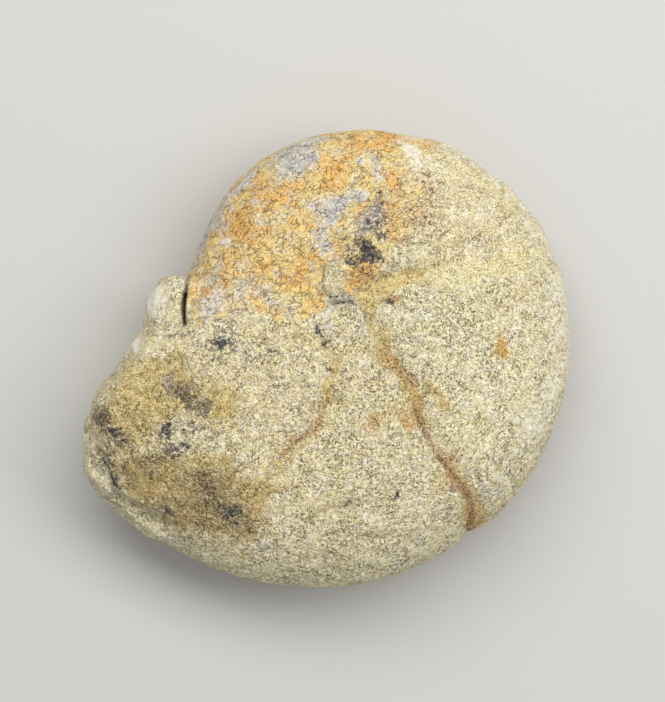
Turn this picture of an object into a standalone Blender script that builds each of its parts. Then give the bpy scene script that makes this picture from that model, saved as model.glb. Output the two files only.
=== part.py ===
"""An ammonite fossil: the internal mould of a smooth, tightly coiled shell, as one solid stone.

Metres, +Z up. The stone lies on one flank. The coil is laid out in millimetres about the umbilicus, with
X to the right, Y away and Z up from the mid-plane of the coil. The finished stone then moves so that its
lowest point is at Z = 0 and the middle of its box is at X = Y = 0.
"""

import math

import bmesh
import bpy
import numpy as np
from mathutils import Vector, noise

MM = 0.001

# The coil. Angles are in degrees, anticlockwise from +X, and the shell grew clockwise as seen from above.
# A point's turn is how far it lies past OLD_END, clockwise: 0 on the oldest part of the outer whorl.
OLD_END = 140.0
OLD_RADIUS = 39.15  # mm, umbilicus to venter there
HALF_TURN, FULL_TURN = 180.0, 360.0
WHORL_GROWTH = 1.893  # how many times the radius grows in one turn
VENTER_START = 0.36  # share of the radius where the flank begins to curve down to the venter
VENTER_POWER = 2.4  # how broad the venter is: 2 is an ellipse, more is squarer

# Gentle departures of the venter from the spiral: angle, half-width in degrees, height in mm.
VENTER_SWELLS = ((-146, 12, 2.2), (-134, 3, 1.0), (-61, 4.5, -0.2), (-57, 34, -0.5), (31, 13, 1.1),
                 (41, 4, 0.5), (60, 7, 0.9), (103, 20, 0.4), (152, 22, -1.5), (-16, 9, -0.3))

# Half-thickness of the coil, from its mid-plane, in mm.
OLD_TOP, NEW_TOP, UMBILICUS_TOP = 16.0, 18.4, 14.8
OLD_UNDER, NEW_UNDER, UMBILICUS_UNDER = 16.4, 17.2, 14.6
THICKENING = 330.0  # degrees over which the flank goes from the old thickness to the new
UMBILICAL_SLOPE = 15.0  # mm from the umbilicus over which the flank reaches its full thickness
RESTING_FACE = 16.6  # mm below the mid-plane: the worn flat that the stone lies on

# The broken end of the body chamber, from the older whorl's venter round the ear to the venter.
BROKEN_END = ((-35.2, 9.9), (-38.3, 10.5), (-40.7, 9.9), (-42.7, 7.9), (-44.6, 3.4), (-45.4, -1.2),
              (-47.4, -4.2), (-50.6, -8.9), (-55.1, -14.7), (-58.1, -21.2), (-58.5, -27.4), (-58.0, -33.6))
END_BLEND = 3.0  # degrees over which the venter passes into the broken end
BROKEN_FROM = -126.0  # degrees: from here on, the rim is broken
BROKEN_BLEND = 14.0  # degrees over which the round venter passes into the broken rim
BROKEN_START = 0.87  # share of the radius where the broken end begins to curve down
BROKEN_POWER = 2.3
LOST_VENTER = 0.09  # share of the radius by which the whole venter stood out past the broken end
EAR_TIP = 164.3  # degrees: where the ear ends against the older whorl
EAR_HEIGHT = 11.0  # mm above the mid-plane: the ear is lower than the flank
EAR_INSIDE, EAR_RISE = 30.0, 4.0  # mm from the umbilicus where the ear begins, and its rise from there
UNDER_EAR = 5.5  # mm that the older whorl's venter stands out under the ear
UNDER_EAR_BLEND = 8.0  # degrees from the ear's tip over which it does so
TIP_BLEND = 2.0  # degrees over which the ear's tip falls to the older whorl

# The line across the flank where the body chamber laps on to the older whorl and the ear.
CHAMBER_END = 175.0  # degrees, at the umbilicus
CHAMBER_SWING, SWING_AT = 11.0, 50.0  # degrees that the line swings back by so many mm out
CHAMBER_EDGE_AT = (25.0, 38.0)  # mm from the umbilicus
CHAMBER_EDGE = (7.0, 3.6)  # mm on each side of the line over which the flank rises, at those places
WIDEST_EDGE = 28.0  # degrees: the same near the umbilicus

# The rim of the broken venter at the aperture: everything outside this line stands lower.
CHIPPED_EDGE = ((-61.0, -19.0), (-57.2, -22.8), (-54.3, -27.0), (-52.3, -29.5), (-51.8, -32.8),
                (-50.7, -36.4), (-46.9, -38.8), (-42.0, -41.1), (-39.6, -43.1), (-37.3, -45.5),
                (-36.4, -52.0))
CHIPPED_TOP = (12.6, 9.6)  # mm above the mid-plane: the flank along this line, at its two ends
CHIPPED_STEP = 1.9  # mm from the flank down to the chipped rim
CHIPPED_WALL = 0.9  # mm over which it steps down
CHIPPED_SLOPE = 0.3  # mm down for each mm outwards

# Constrictions cross both flanks and the venter. Each has its line, its width to the left and to the right
# of the deepest place, its depth in mm, and the share of the depth that it loses by its outer end.
MAIN_CONSTRICTION = ((8.2, -6.5), (11.3, -10.7), (13.7, -13.9), (15.5, -19.2), (17.1, -23.0), (19.7, -28.1),
                     (22.2, -32.4), (25.3, -35.5), (27.3, -38.4), (28.2, -41.3), (27.4, -43.6),
                     (27.0, -46.2), (27.3, -49.0), (27.8, -56.0))
INNER_CONSTRICTION = ((-1.9, -4.9), (-3.0, -11.9), (-3.4, -14.5), (-4.2, -17.9), (-6.3, -21.4),
                      (-9.3, -24.3), (-11.9, -26.9), (-14.2, -29.4), (-18.6, -37.3))
EARLY_CONSTRICTION = ((5.8, 8.2), (9.5, 9.8), (13.7, 11.1), (18.0, 12.3), (23.5, 15.8), (31.0, 16.6),
                      (42.3, 16.2), (52.0, 15.2))
CONSTRICTIONS = ((MAIN_CONSTRICTION, 4.6, 2.4, 1.15, 0.0), (INNER_CONSTRICTION, 3.8, 2.6, 1.0, 0.95),
                 (EARLY_CONSTRICTION, 4.5, 3.5, 0.55, 0.6))
CONSTRICTION_FROM, CONSTRICTION_FADE = 3.0, 7.0  # mm from the umbilicus, and mm over which it deepens
LAST_STRETCH = (0.55, 0.95)  # shares of its length between which it loses that depth

# The gap between the ear and the older whorl.
GAP_LINE = ((-34.6, 11.6), (-35.1, 9.0), (-35.6, 6.0), (-35.7, 3.4), (-35.6, 1.2), (-35.3, -0.6))
GAP_HALF_WIDTH, GAP_DEPTH = 1.5, 4.5

# Small forms on the upper flank: place, radius and height in mm. A pit has a negative height.
LUMPS = ((7.9, 2.6, 3.5, 0.75), (9.6, 4.7, 1.9, -0.6), (-2.4, 8.2, 4.8, 0.55), (-44.8, 3.6, 2.6, 0.5),
         (-43.0, -27.0, 12.8, -0.4), (-30.0, -42.0, 8.0, -0.6), (36.0, -36.0, 14.4, 0.4),
         (-18.0, 30.0, 14.4, 0.4), (30.0, 38.0, 9.6, -0.5), (-40.2, -42.3, 2.9, -0.9),
         (20.0, -14.0, 11.2, 0.35), (46.0, 2.0, 12.8, 0.3))
PLUG_RADIUS, PLUG_HEIGHT = 5.2, 0.35
RING_RADIUS, RING_WIDTH, RING_DEPTH = 4.3, 0.9, 0.4
UPPER_SIDE = 3.0  # mm over which the upper flank's small forms die out at the mid-plane

SWELL_SIZE, SWELL_HEIGHT, SWELL_SEED = 17.0, 0.55, 1  # mm: the flanks' broad unevenness
FACET_SIZE, FACET_HEIGHT, FACET_SEED = 7.0, 0.9, 2  # mm: the lumps of the broken end
FACETS_INSIDE, FACETS_RISE = 36.0, 5.0  # mm from the umbilicus where those lumps begin

BASE_SEGMENTS, BASE_RINGS = 360, 128
VOXEL = 0.8  # mm between the points that the relief moves
TRIANGLES = 9400

STONE_COLOR = (0.62, 0.53, 0.36, 1.0)


def smooth(value):
    """0 below 0, 1 above 1, and an even S-shaped rise between."""
    value = np.clip(value, 0.0, 1.0)
    return value * value * (3.0 - 2.0 * value)


def mix(low, high, share):
    return low + (high - low) * share


def swell(distance, width):
    """1 at no distance, falling smoothly to 0 at the width."""
    return smooth(1.0 - np.abs(distance) / width)


def smooth_line(points, steps=8):
    """Points on a smooth curve through the given ones."""
    points = np.array(points, float)
    ends = np.vstack([2 * points[0] - points[1], points, 2 * points[-1] - points[-2]])
    curve = []
    for before, start, end, after in zip(ends, ends[1:], ends[2:], ends[3:]):
        for t in np.linspace(0.0, 1.0, steps, endpoint=False):
            curve.append(0.5 * (2 * start + (end - before) * t
                                + (2 * before - 5 * start + 4 * end - after) * t * t
                                + (3 * start - before - 3 * end + after) * t**3))
    return np.array(curve + [points[-1]])


def distance_to(line, x, y):
    """Distance from each point to a curve, its side (1 is the left), and the share of the curve behind it."""
    nearest = np.full(x.shape, 1e9)
    side = np.zeros(x.shape)
    share = np.zeros(x.shape)
    curve = smooth_line(line)
    for index, ((x0, y0), (x1, y1)) in enumerate(zip(curve, curve[1:])):
        dx, dy = x1 - x0, y1 - y0
        along = np.clip(((x - x0) * dx + (y - y0) * dy) / (dx * dx + dy * dy), 0.0, 1.0)
        gap = np.hypot(x - x0 - along * dx, y - y0 - along * dy)
        left = (dx * (y - y0) - dy * (x - x0)) / math.hypot(dx, dy)
        closer = gap < nearest
        nearest = np.where(closer, gap, nearest)
        side = np.where(closer, np.where(left > 0, 1.0, -1.0), side)
        share = np.where(closer, (index + along) / (len(curve) - 1), share)
    return nearest, side, share


def turn_back(angle):
    """Degrees from the old end, clockwise, from 0 to 360."""
    return np.mod(OLD_END - angle, FULL_TURN)


def venter_radius(turned):
    """The spiral, at so many degrees from the old end; below 0 it is the older whorl inside the ear."""
    radius = OLD_RADIUS * WHORL_GROWTH ** (turned / FULL_TURN)
    for angle, half_width, height in VENTER_SWELLS:
        off = (turned - (OLD_END - angle)) / half_width
        radius = radius + height * np.exp(-off * off)
    return radius


def outline_radius(turned):
    """The stone's outline: the spiral, then the broken end back to the older whorl."""
    ends = np.array(BROKEN_END)
    end_turned = turn_back(np.degrees(np.arctan2(ends[:, 1], ends[:, 0])))
    order = np.argsort(end_turned)
    broken = np.interp(turned, end_turned[order], np.hypot(ends[:, 0], ends[:, 1])[order])
    last = smooth((turned - end_turned.min()) / END_BLEND)
    outline = mix(venter_radius(turned), broken, last)
    return np.where(turned > end_turned.max(), venter_radius(turned - FULL_TURN), outline)


def rounding(share, start, power):
    """1 on the flank, curving down to 0 at the outline."""
    past = np.clip((share - start) / (1.0 - start), 0.0, 1.0)
    return np.sqrt(np.maximum(1.0 - past**power, 0.0))


def flank_height(x, y, share, old, new, middle):
    """Height of a flank over the mid-plane at each point, share of the outline's radius out."""
    radius = np.hypot(x, y)
    turned = turn_back(np.degrees(np.arctan2(y, x)))
    last_half = turned > HALF_TURN
    from_middle = smooth(radius / UMBILICAL_SLOPE)
    at_end = smooth((turned - turn_back(BROKEN_FROM)) / BROKEN_BLEND)
    broken = rounding(share, BROKEN_START, BROKEN_POWER)

    whole = venter_radius(turned) * (1.0 + LOST_VENTER * at_end)
    flank = mix(middle, mix(old, new, turned / THICKENING), from_middle)
    flank = flank * rounding(np.where(last_half, radius / whole, share), VENTER_START, VENTER_POWER)
    flank = flank * mix(1.0, broken, at_end)

    before_tip = turn_back(EAR_TIP) - turned
    at_ear = smooth(before_tip / TIP_BLEND + 0.5)
    covered = venter_radius(turned - FULL_TURN) + UNDER_EAR * smooth(before_tip / UNDER_EAR_BLEND)
    older = mix(middle, mix(old, new, (turned - FULL_TURN) / THICKENING), from_middle)
    older = older * rounding(np.where(last_half, radius / covered, share), VENTER_START, VENTER_POWER)
    ear = EAR_HEIGHT * at_ear * smooth((radius - EAR_INSIDE) / EAR_RISE)
    older = np.maximum(older, ear) * mix(1.0, broken, at_ear)

    end_line = turn_back(CHAMBER_END + CHAMBER_SWING * (radius / SWING_AT) ** 2)
    edge = np.interp(radius, CHAMBER_EDGE_AT, CHAMBER_EDGE)
    edge = np.minimum(np.degrees(edge / np.maximum(radius, 1.0)), WIDEST_EDGE)
    return mix(flank, older, smooth((turned - end_line + edge) / (2.0 * edge)))


def whorl_mesh():
    """The coil's main form: a sphere whose every point is moved out to the flanks and the venter."""
    bm = bmesh.new()
    bmesh.ops.create_uvsphere(bm, u_segments=BASE_SEGMENTS, v_segments=BASE_RINGS, radius=1.0)
    points = np.array([vert.co[:] for vert in bm.verts])
    angle = np.degrees(np.arctan2(points[:, 1], points[:, 0]))
    share = np.clip(np.hypot(points[:, 0], points[:, 1]), 0.0, 1.0)
    radius = outline_radius(turn_back(angle)) * share
    x, y = radius * np.cos(np.radians(angle)), radius * np.sin(np.radians(angle))
    top = flank_height(x, y, share, OLD_TOP, NEW_TOP, UMBILICUS_TOP)
    under = -flank_height(x, y, share, OLD_UNDER, NEW_UNDER, UMBILICUS_UNDER)
    z = np.where(points[:, 2] >= 0.0, top, under)
    for vert, place in zip(bm.verts, np.column_stack([x, y, z])):
        vert.co = place
    mesh = bpy.data.meshes.new("ammonite")
    bm.to_mesh(mesh)
    bm.free()
    return mesh


def noise_at(points, size, seed):
    """Smooth noise from -1 to 1 at each point, with lumps of the given size."""
    shift = Vector((17.3, 5.1, 9.7)) * seed
    return np.array([noise.noise(Vector(point) / size + shift) for point in points])


def along_normals(points):
    """How far out each point goes along its normal: broad swells, broken lumps and constrictions."""
    x, y, _ = points.T
    radius = np.hypot(x, y)
    turned = turn_back(np.degrees(np.arctan2(y, x)))
    out = SWELL_HEIGHT * noise_at(points, SWELL_SIZE, SWELL_SEED)

    broken = smooth((turned - turn_back(BROKEN_FROM)) / BROKEN_BLEND)
    broken = broken * smooth((turn_back(EAR_TIP) - turned) / TIP_BLEND)
    broken = broken * smooth((radius - FACETS_INSIDE) / FACETS_RISE)
    out = out + FACET_HEIGHT * broken * noise_at(points, FACET_SIZE, FACET_SEED)

    first, last = LAST_STRETCH
    for line, left_width, right_width, depth, lost in CONSTRICTIONS:
        gap, side, along = distance_to(line, x, y)
        cut = depth * smooth((radius - CONSTRICTION_FROM) / CONSTRICTION_FADE)
        cut = cut * (1.0 - lost * smooth((along - first) / (last - first)))
        out = out - cut * swell(gap, np.where(side > 0.0, left_width, right_width))
    return out


def upwards(x, y):
    """How far up each point of the upper flank goes: lumps and pits, the plug, and the gap by the ear."""
    radius = np.hypot(x, y)
    up = PLUG_HEIGHT * swell(radius, PLUG_RADIUS) - RING_DEPTH * swell(radius - RING_RADIUS, RING_WIDTH)
    for lump_x, lump_y, size, height in LUMPS:
        up = up + height * swell(np.hypot(x - lump_x, y - lump_y), size)
    gap, _, _ = distance_to(GAP_LINE, x, y)
    return up - GAP_DEPTH * swell(gap, GAP_HALF_WIDTH)


def chipped(points):
    """The points, with the rim outside the chipped edge brought down to its ledge."""
    x, y, z = points.T
    gap, side, along = distance_to(CHIPPED_EDGE, x, y)
    ledge = mix(*CHIPPED_TOP, along) - CHIPPED_STEP * smooth(gap / CHIPPED_WALL) - CHIPPED_SLOPE * gap
    outside = (side < 0.0) & (turn_back(np.degrees(np.arctan2(y, x))) > HALF_TURN)
    return np.column_stack([x, y, np.where(outside & (z > ledge), ledge, z)])


def relief(points, normals):
    """Moves the surface's points for everything that is cut into it or stands on it."""
    upper = smooth(points[:, 2] / UPPER_SIDE + 0.5)
    up = upwards(points[:, 0], points[:, 1]) * upper
    points = points + normals * along_normals(points)[:, None]
    points[:, 2] += up
    points = chipped(points)
    points[:, 2] = np.maximum(points[:, 2], -RESTING_FACE)
    return points


def read_vectors(items, field):
    values = np.empty(len(items) * 3, np.float32)
    items.foreach_get(field, values)
    return values.reshape(-1, 3).astype(float)


def write_points(mesh, points):
    mesh.vertices.foreach_set("co", points.astype(np.float32).ravel())
    mesh.update()


def with_modifier(obj, modifier_type, **settings):
    """Works one modifier into the object's mesh, and gives the mesh."""
    modifier = obj.modifiers.new(modifier_type.title(), modifier_type)
    for name, value in settings.items():
        setattr(modifier, name, value)
    bpy.context.view_layer.update()
    graph = bpy.context.evaluated_depsgraph_get()
    mesh = bpy.data.meshes.new_from_object(obj.evaluated_get(graph))
    obj.modifiers.clear()
    obj.data = mesh
    return mesh


def stone_material():
    material = bpy.data.materials.new("stone")
    material.use_nodes = True
    shader = material.node_tree.nodes["Principled BSDF"]
    shader.inputs["Base Color"].default_value = STONE_COLOR
    shader.inputs["Roughness"].default_value = 0.9
    shader.inputs["Metallic"].default_value = 0.0
    return material


def make_ammonite(collection):
    stone = bpy.data.objects.new("ammonite", whorl_mesh())
    collection.objects.link(stone)
    mesh = with_modifier(stone, "REMESH", mode="VOXEL", voxel_size=VOXEL, adaptivity=0.0)
    points = read_vectors(mesh.vertices, "co")
    write_points(mesh, relief(points, read_vectors(mesh.vertex_normals, "vector")))

    mesh.calc_loop_triangles()
    ratio = TRIANGLES / len(mesh.loop_triangles)
    mesh = with_modifier(stone, "DECIMATE", decimate_type="COLLAPSE", ratio=ratio)
    points = read_vectors(mesh.vertices, "co")
    points[:, 2] = np.maximum(points[:, 2], -RESTING_FACE)
    middle = (points.min(axis=0) + points.max(axis=0)) / 2
    points -= (middle[0], middle[1], -RESTING_FACE)
    write_points(mesh, points * MM)
    mesh.shade_smooth()
    mesh.materials.clear()
    mesh.materials.append(stone_material())
    print("umbilicus, in mm:", -middle[:2].round(3))


def main():
    for obj in list(bpy.data.objects):
        bpy.data.objects.remove(obj, do_unlink=True)
    collection = bpy.data.collections.new("Ammonite fossil")
    bpy.context.scene.collection.children.link(collection)
    make_ammonite(collection)


main()
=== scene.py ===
# %% [markdown]
# # An ammonite fossil
# The stone is the inside of a coiled shell: mud filled the shell, turned to stone, and the shell dissolved
# away. It is one solid piece, so the scene holds one piece of stone, a floor, a light and a camera.
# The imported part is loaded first. Its box says where the stone lies and how large it may be.

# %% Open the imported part
import math

import bmesh
import bpy
import numpy as np
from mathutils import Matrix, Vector, noise


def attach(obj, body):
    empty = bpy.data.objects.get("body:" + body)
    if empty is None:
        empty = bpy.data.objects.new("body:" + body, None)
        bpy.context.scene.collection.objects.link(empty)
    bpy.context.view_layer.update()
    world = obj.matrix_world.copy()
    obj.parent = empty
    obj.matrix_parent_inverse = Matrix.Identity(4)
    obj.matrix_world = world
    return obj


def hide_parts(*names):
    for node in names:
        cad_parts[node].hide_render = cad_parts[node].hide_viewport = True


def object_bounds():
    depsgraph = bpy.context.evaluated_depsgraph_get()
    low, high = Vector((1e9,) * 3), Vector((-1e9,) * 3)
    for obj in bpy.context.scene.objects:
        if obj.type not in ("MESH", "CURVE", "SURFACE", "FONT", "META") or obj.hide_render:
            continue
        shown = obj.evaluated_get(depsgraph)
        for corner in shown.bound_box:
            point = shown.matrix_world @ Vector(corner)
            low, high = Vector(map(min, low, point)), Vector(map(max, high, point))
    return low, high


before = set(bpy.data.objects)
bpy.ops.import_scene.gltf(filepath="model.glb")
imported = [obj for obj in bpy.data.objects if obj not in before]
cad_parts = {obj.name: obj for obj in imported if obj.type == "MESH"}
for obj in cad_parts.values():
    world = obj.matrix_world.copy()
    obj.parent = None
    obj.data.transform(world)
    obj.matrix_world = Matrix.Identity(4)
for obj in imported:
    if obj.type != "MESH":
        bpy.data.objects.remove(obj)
cad_low, cad_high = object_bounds()
MM = 0.001
print("nodes of the packed part:", list(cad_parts))
print("its box, in mm:", [round(side / MM, 2) for side in cad_high - cad_low])

# %% [markdown]
# ## The camera
# The stone lies on its side, and the camera looks straight down on it. A long lens a metre away keeps the
# round rim nearly free of perspective. A camera that isn't turned looks down already, with +Y at the top.

# %% Set the camera
CAMERA_OVER = (1.31, 1.67)  # mm from the middle of the part's box
CAMERA_HEIGHT = 1.0166  # metres over the floor
FRAME_HEIGHT = 0.1565  # metres that the frame covers at the middle of the stone
STONE_MIDDLE = 0.0166  # metres over the floor: the mid-plane of the coil
SENSOR = 36.0  # mm

camera = bpy.data.objects.new("camera", bpy.data.cameras.new("camera"))
camera.data.sensor_width = SENSOR
camera.data.lens = SENSOR * (CAMERA_HEIGHT - STONE_MIDDLE) / FRAME_HEIGHT
camera.location = (CAMERA_OVER[0] * MM, CAMERA_OVER[1] * MM, CAMERA_HEIGHT)
bpy.context.scene.collection.objects.link(camera)
bpy.context.scene.camera = camera
print("lens:", round(camera.data.lens, 1), "mm")

# %% [markdown]
# ## Floor and light
# Stone shows its grain best under one wide soft light, high up and a little to one side, while a pale sky
# fills the shadows. Both are faintly warm, as a lit room is. The floor is a plain pale sheet, so it adds no
# colour of its own. The plain "Standard" view shows a painted colour as it was mixed, which makes a stain's
# colour easy to judge.


# %% Lay the floor and hang the light
def plain_material(name, colour, roughness):
    """A material with one colour, and its shader."""
    material = bpy.data.materials.new(name)
    material.use_nodes = True
    shader = material.node_tree.nodes["Principled BSDF"]
    shader.inputs["Base Color"].default_value = (*colour, 1.0)
    shader.inputs["Roughness"].default_value = roughness
    return material, shader


def new_piece(name, bm):
    """An object at the origin that holds what the bmesh has."""
    mesh = bpy.data.meshes.new(name)
    bm.to_mesh(mesh)
    bm.free()
    piece = bpy.data.objects.new(name, mesh)
    bpy.context.scene.collection.objects.link(piece)
    return piece


FLOOR_HALF = 1.5  # metres
FLOOR_COLOUR, FLOOR_ROUGHNESS = (0.62, 0.62, 0.61), 0.8
sheet = bmesh.new()
bmesh.ops.create_grid(sheet, x_segments=1, y_segments=1, size=FLOOR_HALF)
floor = new_piece("floor", sheet)
floor.data.materials.append(plain_material("pale floor", FLOOR_COLOUR, FLOOR_ROUGHNESS)[0])

WARM_WHITE = (1.0, 0.985, 0.96)
LAMP_AT = Vector((0.16, 0.3, 0.7))
LAMP_WIDTH, LAMP_LENGTH, LAMP_POWER = 1.6, 0.4, 7.5  # metres and watts
SKY_STRENGTH = 0.42
lamp = bpy.data.objects.new("lamp", bpy.data.lights.new("lamp", "AREA"))
lamp.data.shape = "RECTANGLE"
lamp.data.size, lamp.data.size_y = LAMP_WIDTH, LAMP_LENGTH
lamp.data.energy = LAMP_POWER
lamp.data.color = WARM_WHITE
lamp.location = LAMP_AT
lamp.rotation_euler = (-LAMP_AT).to_track_quat("-Z", "Y").to_euler()
bpy.context.scene.collection.objects.link(lamp)

sky = bpy.data.worlds.new("soft sky")
sky.use_nodes = True
glow = sky.node_tree.nodes["Background"]
glow.inputs["Color"].default_value = (*WARM_WHITE, 1.0)
glow.inputs["Strength"].default_value = SKY_STRENGTH
bpy.context.scene.world = sky
bpy.context.scene.view_settings.view_transform = "Standard"
print("lamp", round(LAMP_AT.length, 2), "m away")

# %% [markdown]
# ## The spiral
# A shell grows by the same share in every part of a turn, so its outer edge, the venter, is a spiral whose
# radius is multiplied by one number for each turn. Everything is laid out in millimetres about the
# umbilicus, the navel of the coil. The real venter leaves the spiral by a millimetre here and there, and
# the last part of the shell, the body chamber, is broken off; both are written down as short lists.

# %% Describe the spiral
OLD_END = 140.0  # degrees, anticlockwise from +X, where the outer whorl begins
OLD_RADIUS = 39.15
HALF_TURN, FULL_TURN = 180.0, 360.0
WHORL_GROWTH = 1.893
VENTER_SWELLS = ((-146, 12, 2.2), (-134, 3, 1.0), (-61, 4.5, -0.2), (-57, 34, -0.5), (31, 13, 1.1),
                 (41, 4, 0.5), (60, 7, 0.9), (103, 20, 0.4), (152, 22, -1.5), (-16, 9, -0.3))
BROKEN_END = ((-35.2, 9.9), (-38.3, 10.5), (-40.7, 9.9), (-42.7, 7.9), (-44.6, 3.4), (-45.4, -1.2),
              (-47.4, -4.2), (-50.6, -8.9), (-55.1, -14.7), (-58.1, -21.2), (-58.5, -27.4), (-58.0, -33.6))
END_BLEND = 3.0


def smooth(value):
    """0 below 0, 1 above 1, and an even S-shaped rise between."""
    value = np.clip(value, 0.0, 1.0)
    return value * value * (3.0 - 2.0 * value)


def mix(low, high, share):
    """The first value at a share of 0, the second at a share of 1."""
    return low + (high - low) * share


def turn_back(angle):
    """Degrees from the old end, clockwise, from 0 to 360."""
    return np.mod(OLD_END - angle, FULL_TURN)


def venter_radius(turned):
    """The spiral, at so many degrees from the old end; below 0 it is the older whorl inside the ear."""
    radius = OLD_RADIUS * WHORL_GROWTH ** (turned / FULL_TURN)
    for angle, half_width, height in VENTER_SWELLS:
        off = (turned - (OLD_END - angle)) / half_width
        radius = radius + height * np.exp(-off * off)
    return radius


def outline_radius(turned):
    """The stone's outline: the spiral, then the broken end back to the older whorl."""
    ends = np.array(BROKEN_END)
    end_turned = turn_back(np.degrees(np.arctan2(ends[:, 1], ends[:, 0])))
    order = np.argsort(end_turned)
    broken = np.interp(turned, end_turned[order], np.hypot(ends[:, 0], ends[:, 1])[order])
    last = smooth((turned - end_turned.min()) / END_BLEND)
    outline = mix(venter_radius(turned), broken, last)
    return np.where(turned > end_turned.max(), venter_radius(turned - FULL_TURN), outline)


print("venter, in mm:", [round(float(venter_radius(turned)), 1) for turned in (0, 90, 180, 270)])

# %% [markdown]
# ## The flanks
# A whorl is a tube, and its side, the flank, is nearly flat before it curves over to the venter. The height
# of the flank is worked out for each place as a share of the way out. Where the body chamber laps on to the
# older whorl, two such heights meet along a line. The ear is a low remnant of the chamber beyond it.

# %% Describe the flanks
VENTER_START = 0.36
VENTER_POWER = 2.4
TOP_FLANK = (16.0, 18.4, 14.8)  # half-thickness at the old end, at the new end and at the umbilicus
UNDER_FLANK = (16.4, 17.2, 14.6)
THICKENING = 330.0
UMBILICAL_SLOPE = 15.0
RESTING_FACE = 16.6
BROKEN_FROM, BROKEN_BLEND = -126.0, 14.0
BROKEN_START, BROKEN_POWER = 0.87, 2.3
LOST_VENTER = 0.09
EAR_TIP, EAR_HEIGHT = 164.3, 11.0
EAR_INSIDE, EAR_RISE = 30.0, 4.0
UNDER_EAR, UNDER_EAR_BLEND = 5.5, 8.0
TIP_BLEND = 2.0
CHAMBER_END = 175.0
CHAMBER_SWING, SWING_AT = 11.0, 50.0
CHAMBER_EDGE_AT, CHAMBER_EDGE = (25.0, 38.0), (7.0, 3.6)
WIDEST_EDGE = 28.0


def rounding(share, start, power):
    """1 on the flank, curving down to 0 at the outline."""
    past = np.clip((share - start) / (1.0 - start), 0.0, 1.0)
    return np.sqrt(np.maximum(1.0 - past**power, 0.0))


def flank_height(x, y, share, half_thickness):
    """Height of a flank over the mid-plane at each point, share of the outline's radius out."""
    old, new, middle = half_thickness
    radius = np.hypot(x, y)
    turned = turn_back(np.degrees(np.arctan2(y, x)))
    last_half = turned > HALF_TURN
    from_middle = smooth(radius / UMBILICAL_SLOPE)
    at_end = smooth((turned - turn_back(BROKEN_FROM)) / BROKEN_BLEND)
    broken = rounding(share, BROKEN_START, BROKEN_POWER)

    whole = venter_radius(turned) * (1.0 + LOST_VENTER * at_end)
    flank = mix(middle, mix(old, new, turned / THICKENING), from_middle)
    flank = flank * rounding(np.where(last_half, radius / whole, share), VENTER_START, VENTER_POWER)
    flank = flank * mix(1.0, broken, at_end)

    before_tip = turn_back(EAR_TIP) - turned
    at_ear = smooth(before_tip / TIP_BLEND + 0.5)
    covered = venter_radius(turned - FULL_TURN) + UNDER_EAR * smooth(before_tip / UNDER_EAR_BLEND)
    older = mix(middle, mix(old, new, (turned - FULL_TURN) / THICKENING), from_middle)
    older = older * rounding(np.where(last_half, radius / covered, share), VENTER_START, VENTER_POWER)
    ear = EAR_HEIGHT * at_ear * smooth((radius - EAR_INSIDE) / EAR_RISE)
    older = np.maximum(older, ear) * mix(1.0, broken, at_ear)

    end_line = turn_back(CHAMBER_END + CHAMBER_SWING * (radius / SWING_AT) ** 2)
    edge = np.interp(radius, CHAMBER_EDGE_AT, CHAMBER_EDGE)
    edge = np.minimum(np.degrees(edge / np.maximum(radius, 1.0)), WIDEST_EDGE)
    return mix(flank, older, smooth((turned - end_line + edge) / (2.0 * edge)))


# %% [markdown]
# ## From a ball to a whorl
# A UV sphere already has its rings in the right order: the pole becomes the umbilicus and the equator the
# venter. Each of its points is moved out to the spiral and up to the flank. A voxel remesh then gives the
# stone an even skin, fine enough to carve, with no crowded points at the poles.

# %% Shape the whorl
BASE_SEGMENTS, BASE_RINGS = 360, 128
SKIN = 0.6  # mm between the points of the stone's skin
# Places where the skin is twice as fine: x, y and radius on the upper side.
FINE_PLACES = ((0.5, 4.5, 11.0), (-36.0, 4.0, 7.0), (-46.0, -36.0, 12.0), (24.0, -35.0, 6.0))

ball = bmesh.new()
bmesh.ops.create_uvsphere(ball, u_segments=BASE_SEGMENTS, v_segments=BASE_RINGS, radius=1.0)
places = np.array([vert.co[:] for vert in ball.verts])
angle = np.degrees(np.arctan2(places[:, 1], places[:, 0]))
share = np.clip(np.hypot(places[:, 0], places[:, 1]), 0.0, 1.0)
radius = outline_radius(turn_back(angle)) * share
x, y = radius * np.cos(np.radians(angle)), radius * np.sin(np.radians(angle))
z = np.where(places[:, 2] >= 0.0, flank_height(x, y, share, TOP_FLANK),
             -flank_height(x, y, share, UNDER_FLANK))
for vert, place in zip(ball.verts, np.column_stack([x, y, z])):
    vert.co = place
stone = new_piece("ammonite_stone", ball)


def read_vectors(items, field):
    """One field of every item, as rows of x, y and z."""
    values = np.empty(len(items) * 3, np.float32)
    items.foreach_get(field, values)
    return values.reshape(-1, 3).astype(float)


def remesh(piece, size):
    """An even skin over the piece, as a plain mesh."""
    wrap = piece.modifiers.new("skin", "REMESH")
    wrap.mode, wrap.voxel_size, wrap.adaptivity = "VOXEL", size, 0.0
    graph = bpy.context.evaluated_depsgraph_get()
    mesh = bpy.data.meshes.new_from_object(piece.evaluated_get(graph))
    piece.modifiers.clear()
    piece.data = mesh
    return mesh


def refine(mesh, places):
    """Halves the spacing of the upper skin around each place."""
    fine = bmesh.new()
    fine.from_mesh(mesh)
    near = {vert for vert in fine.verts if vert.co.z > 0.0 and any(
        math.hypot(vert.co.x - x, vert.co.y - y) < size for x, y, size in places)}
    edges = [edge for edge in fine.edges if edge.verts[0] in near and edge.verts[1] in near]
    bmesh.ops.subdivide_edges(fine, edges=edges, cuts=1, use_grid_fill=True)
    fine.to_mesh(mesh)
    fine.free()
    return sum(len(face.vertices) - 2 for face in mesh.polygons)


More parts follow.
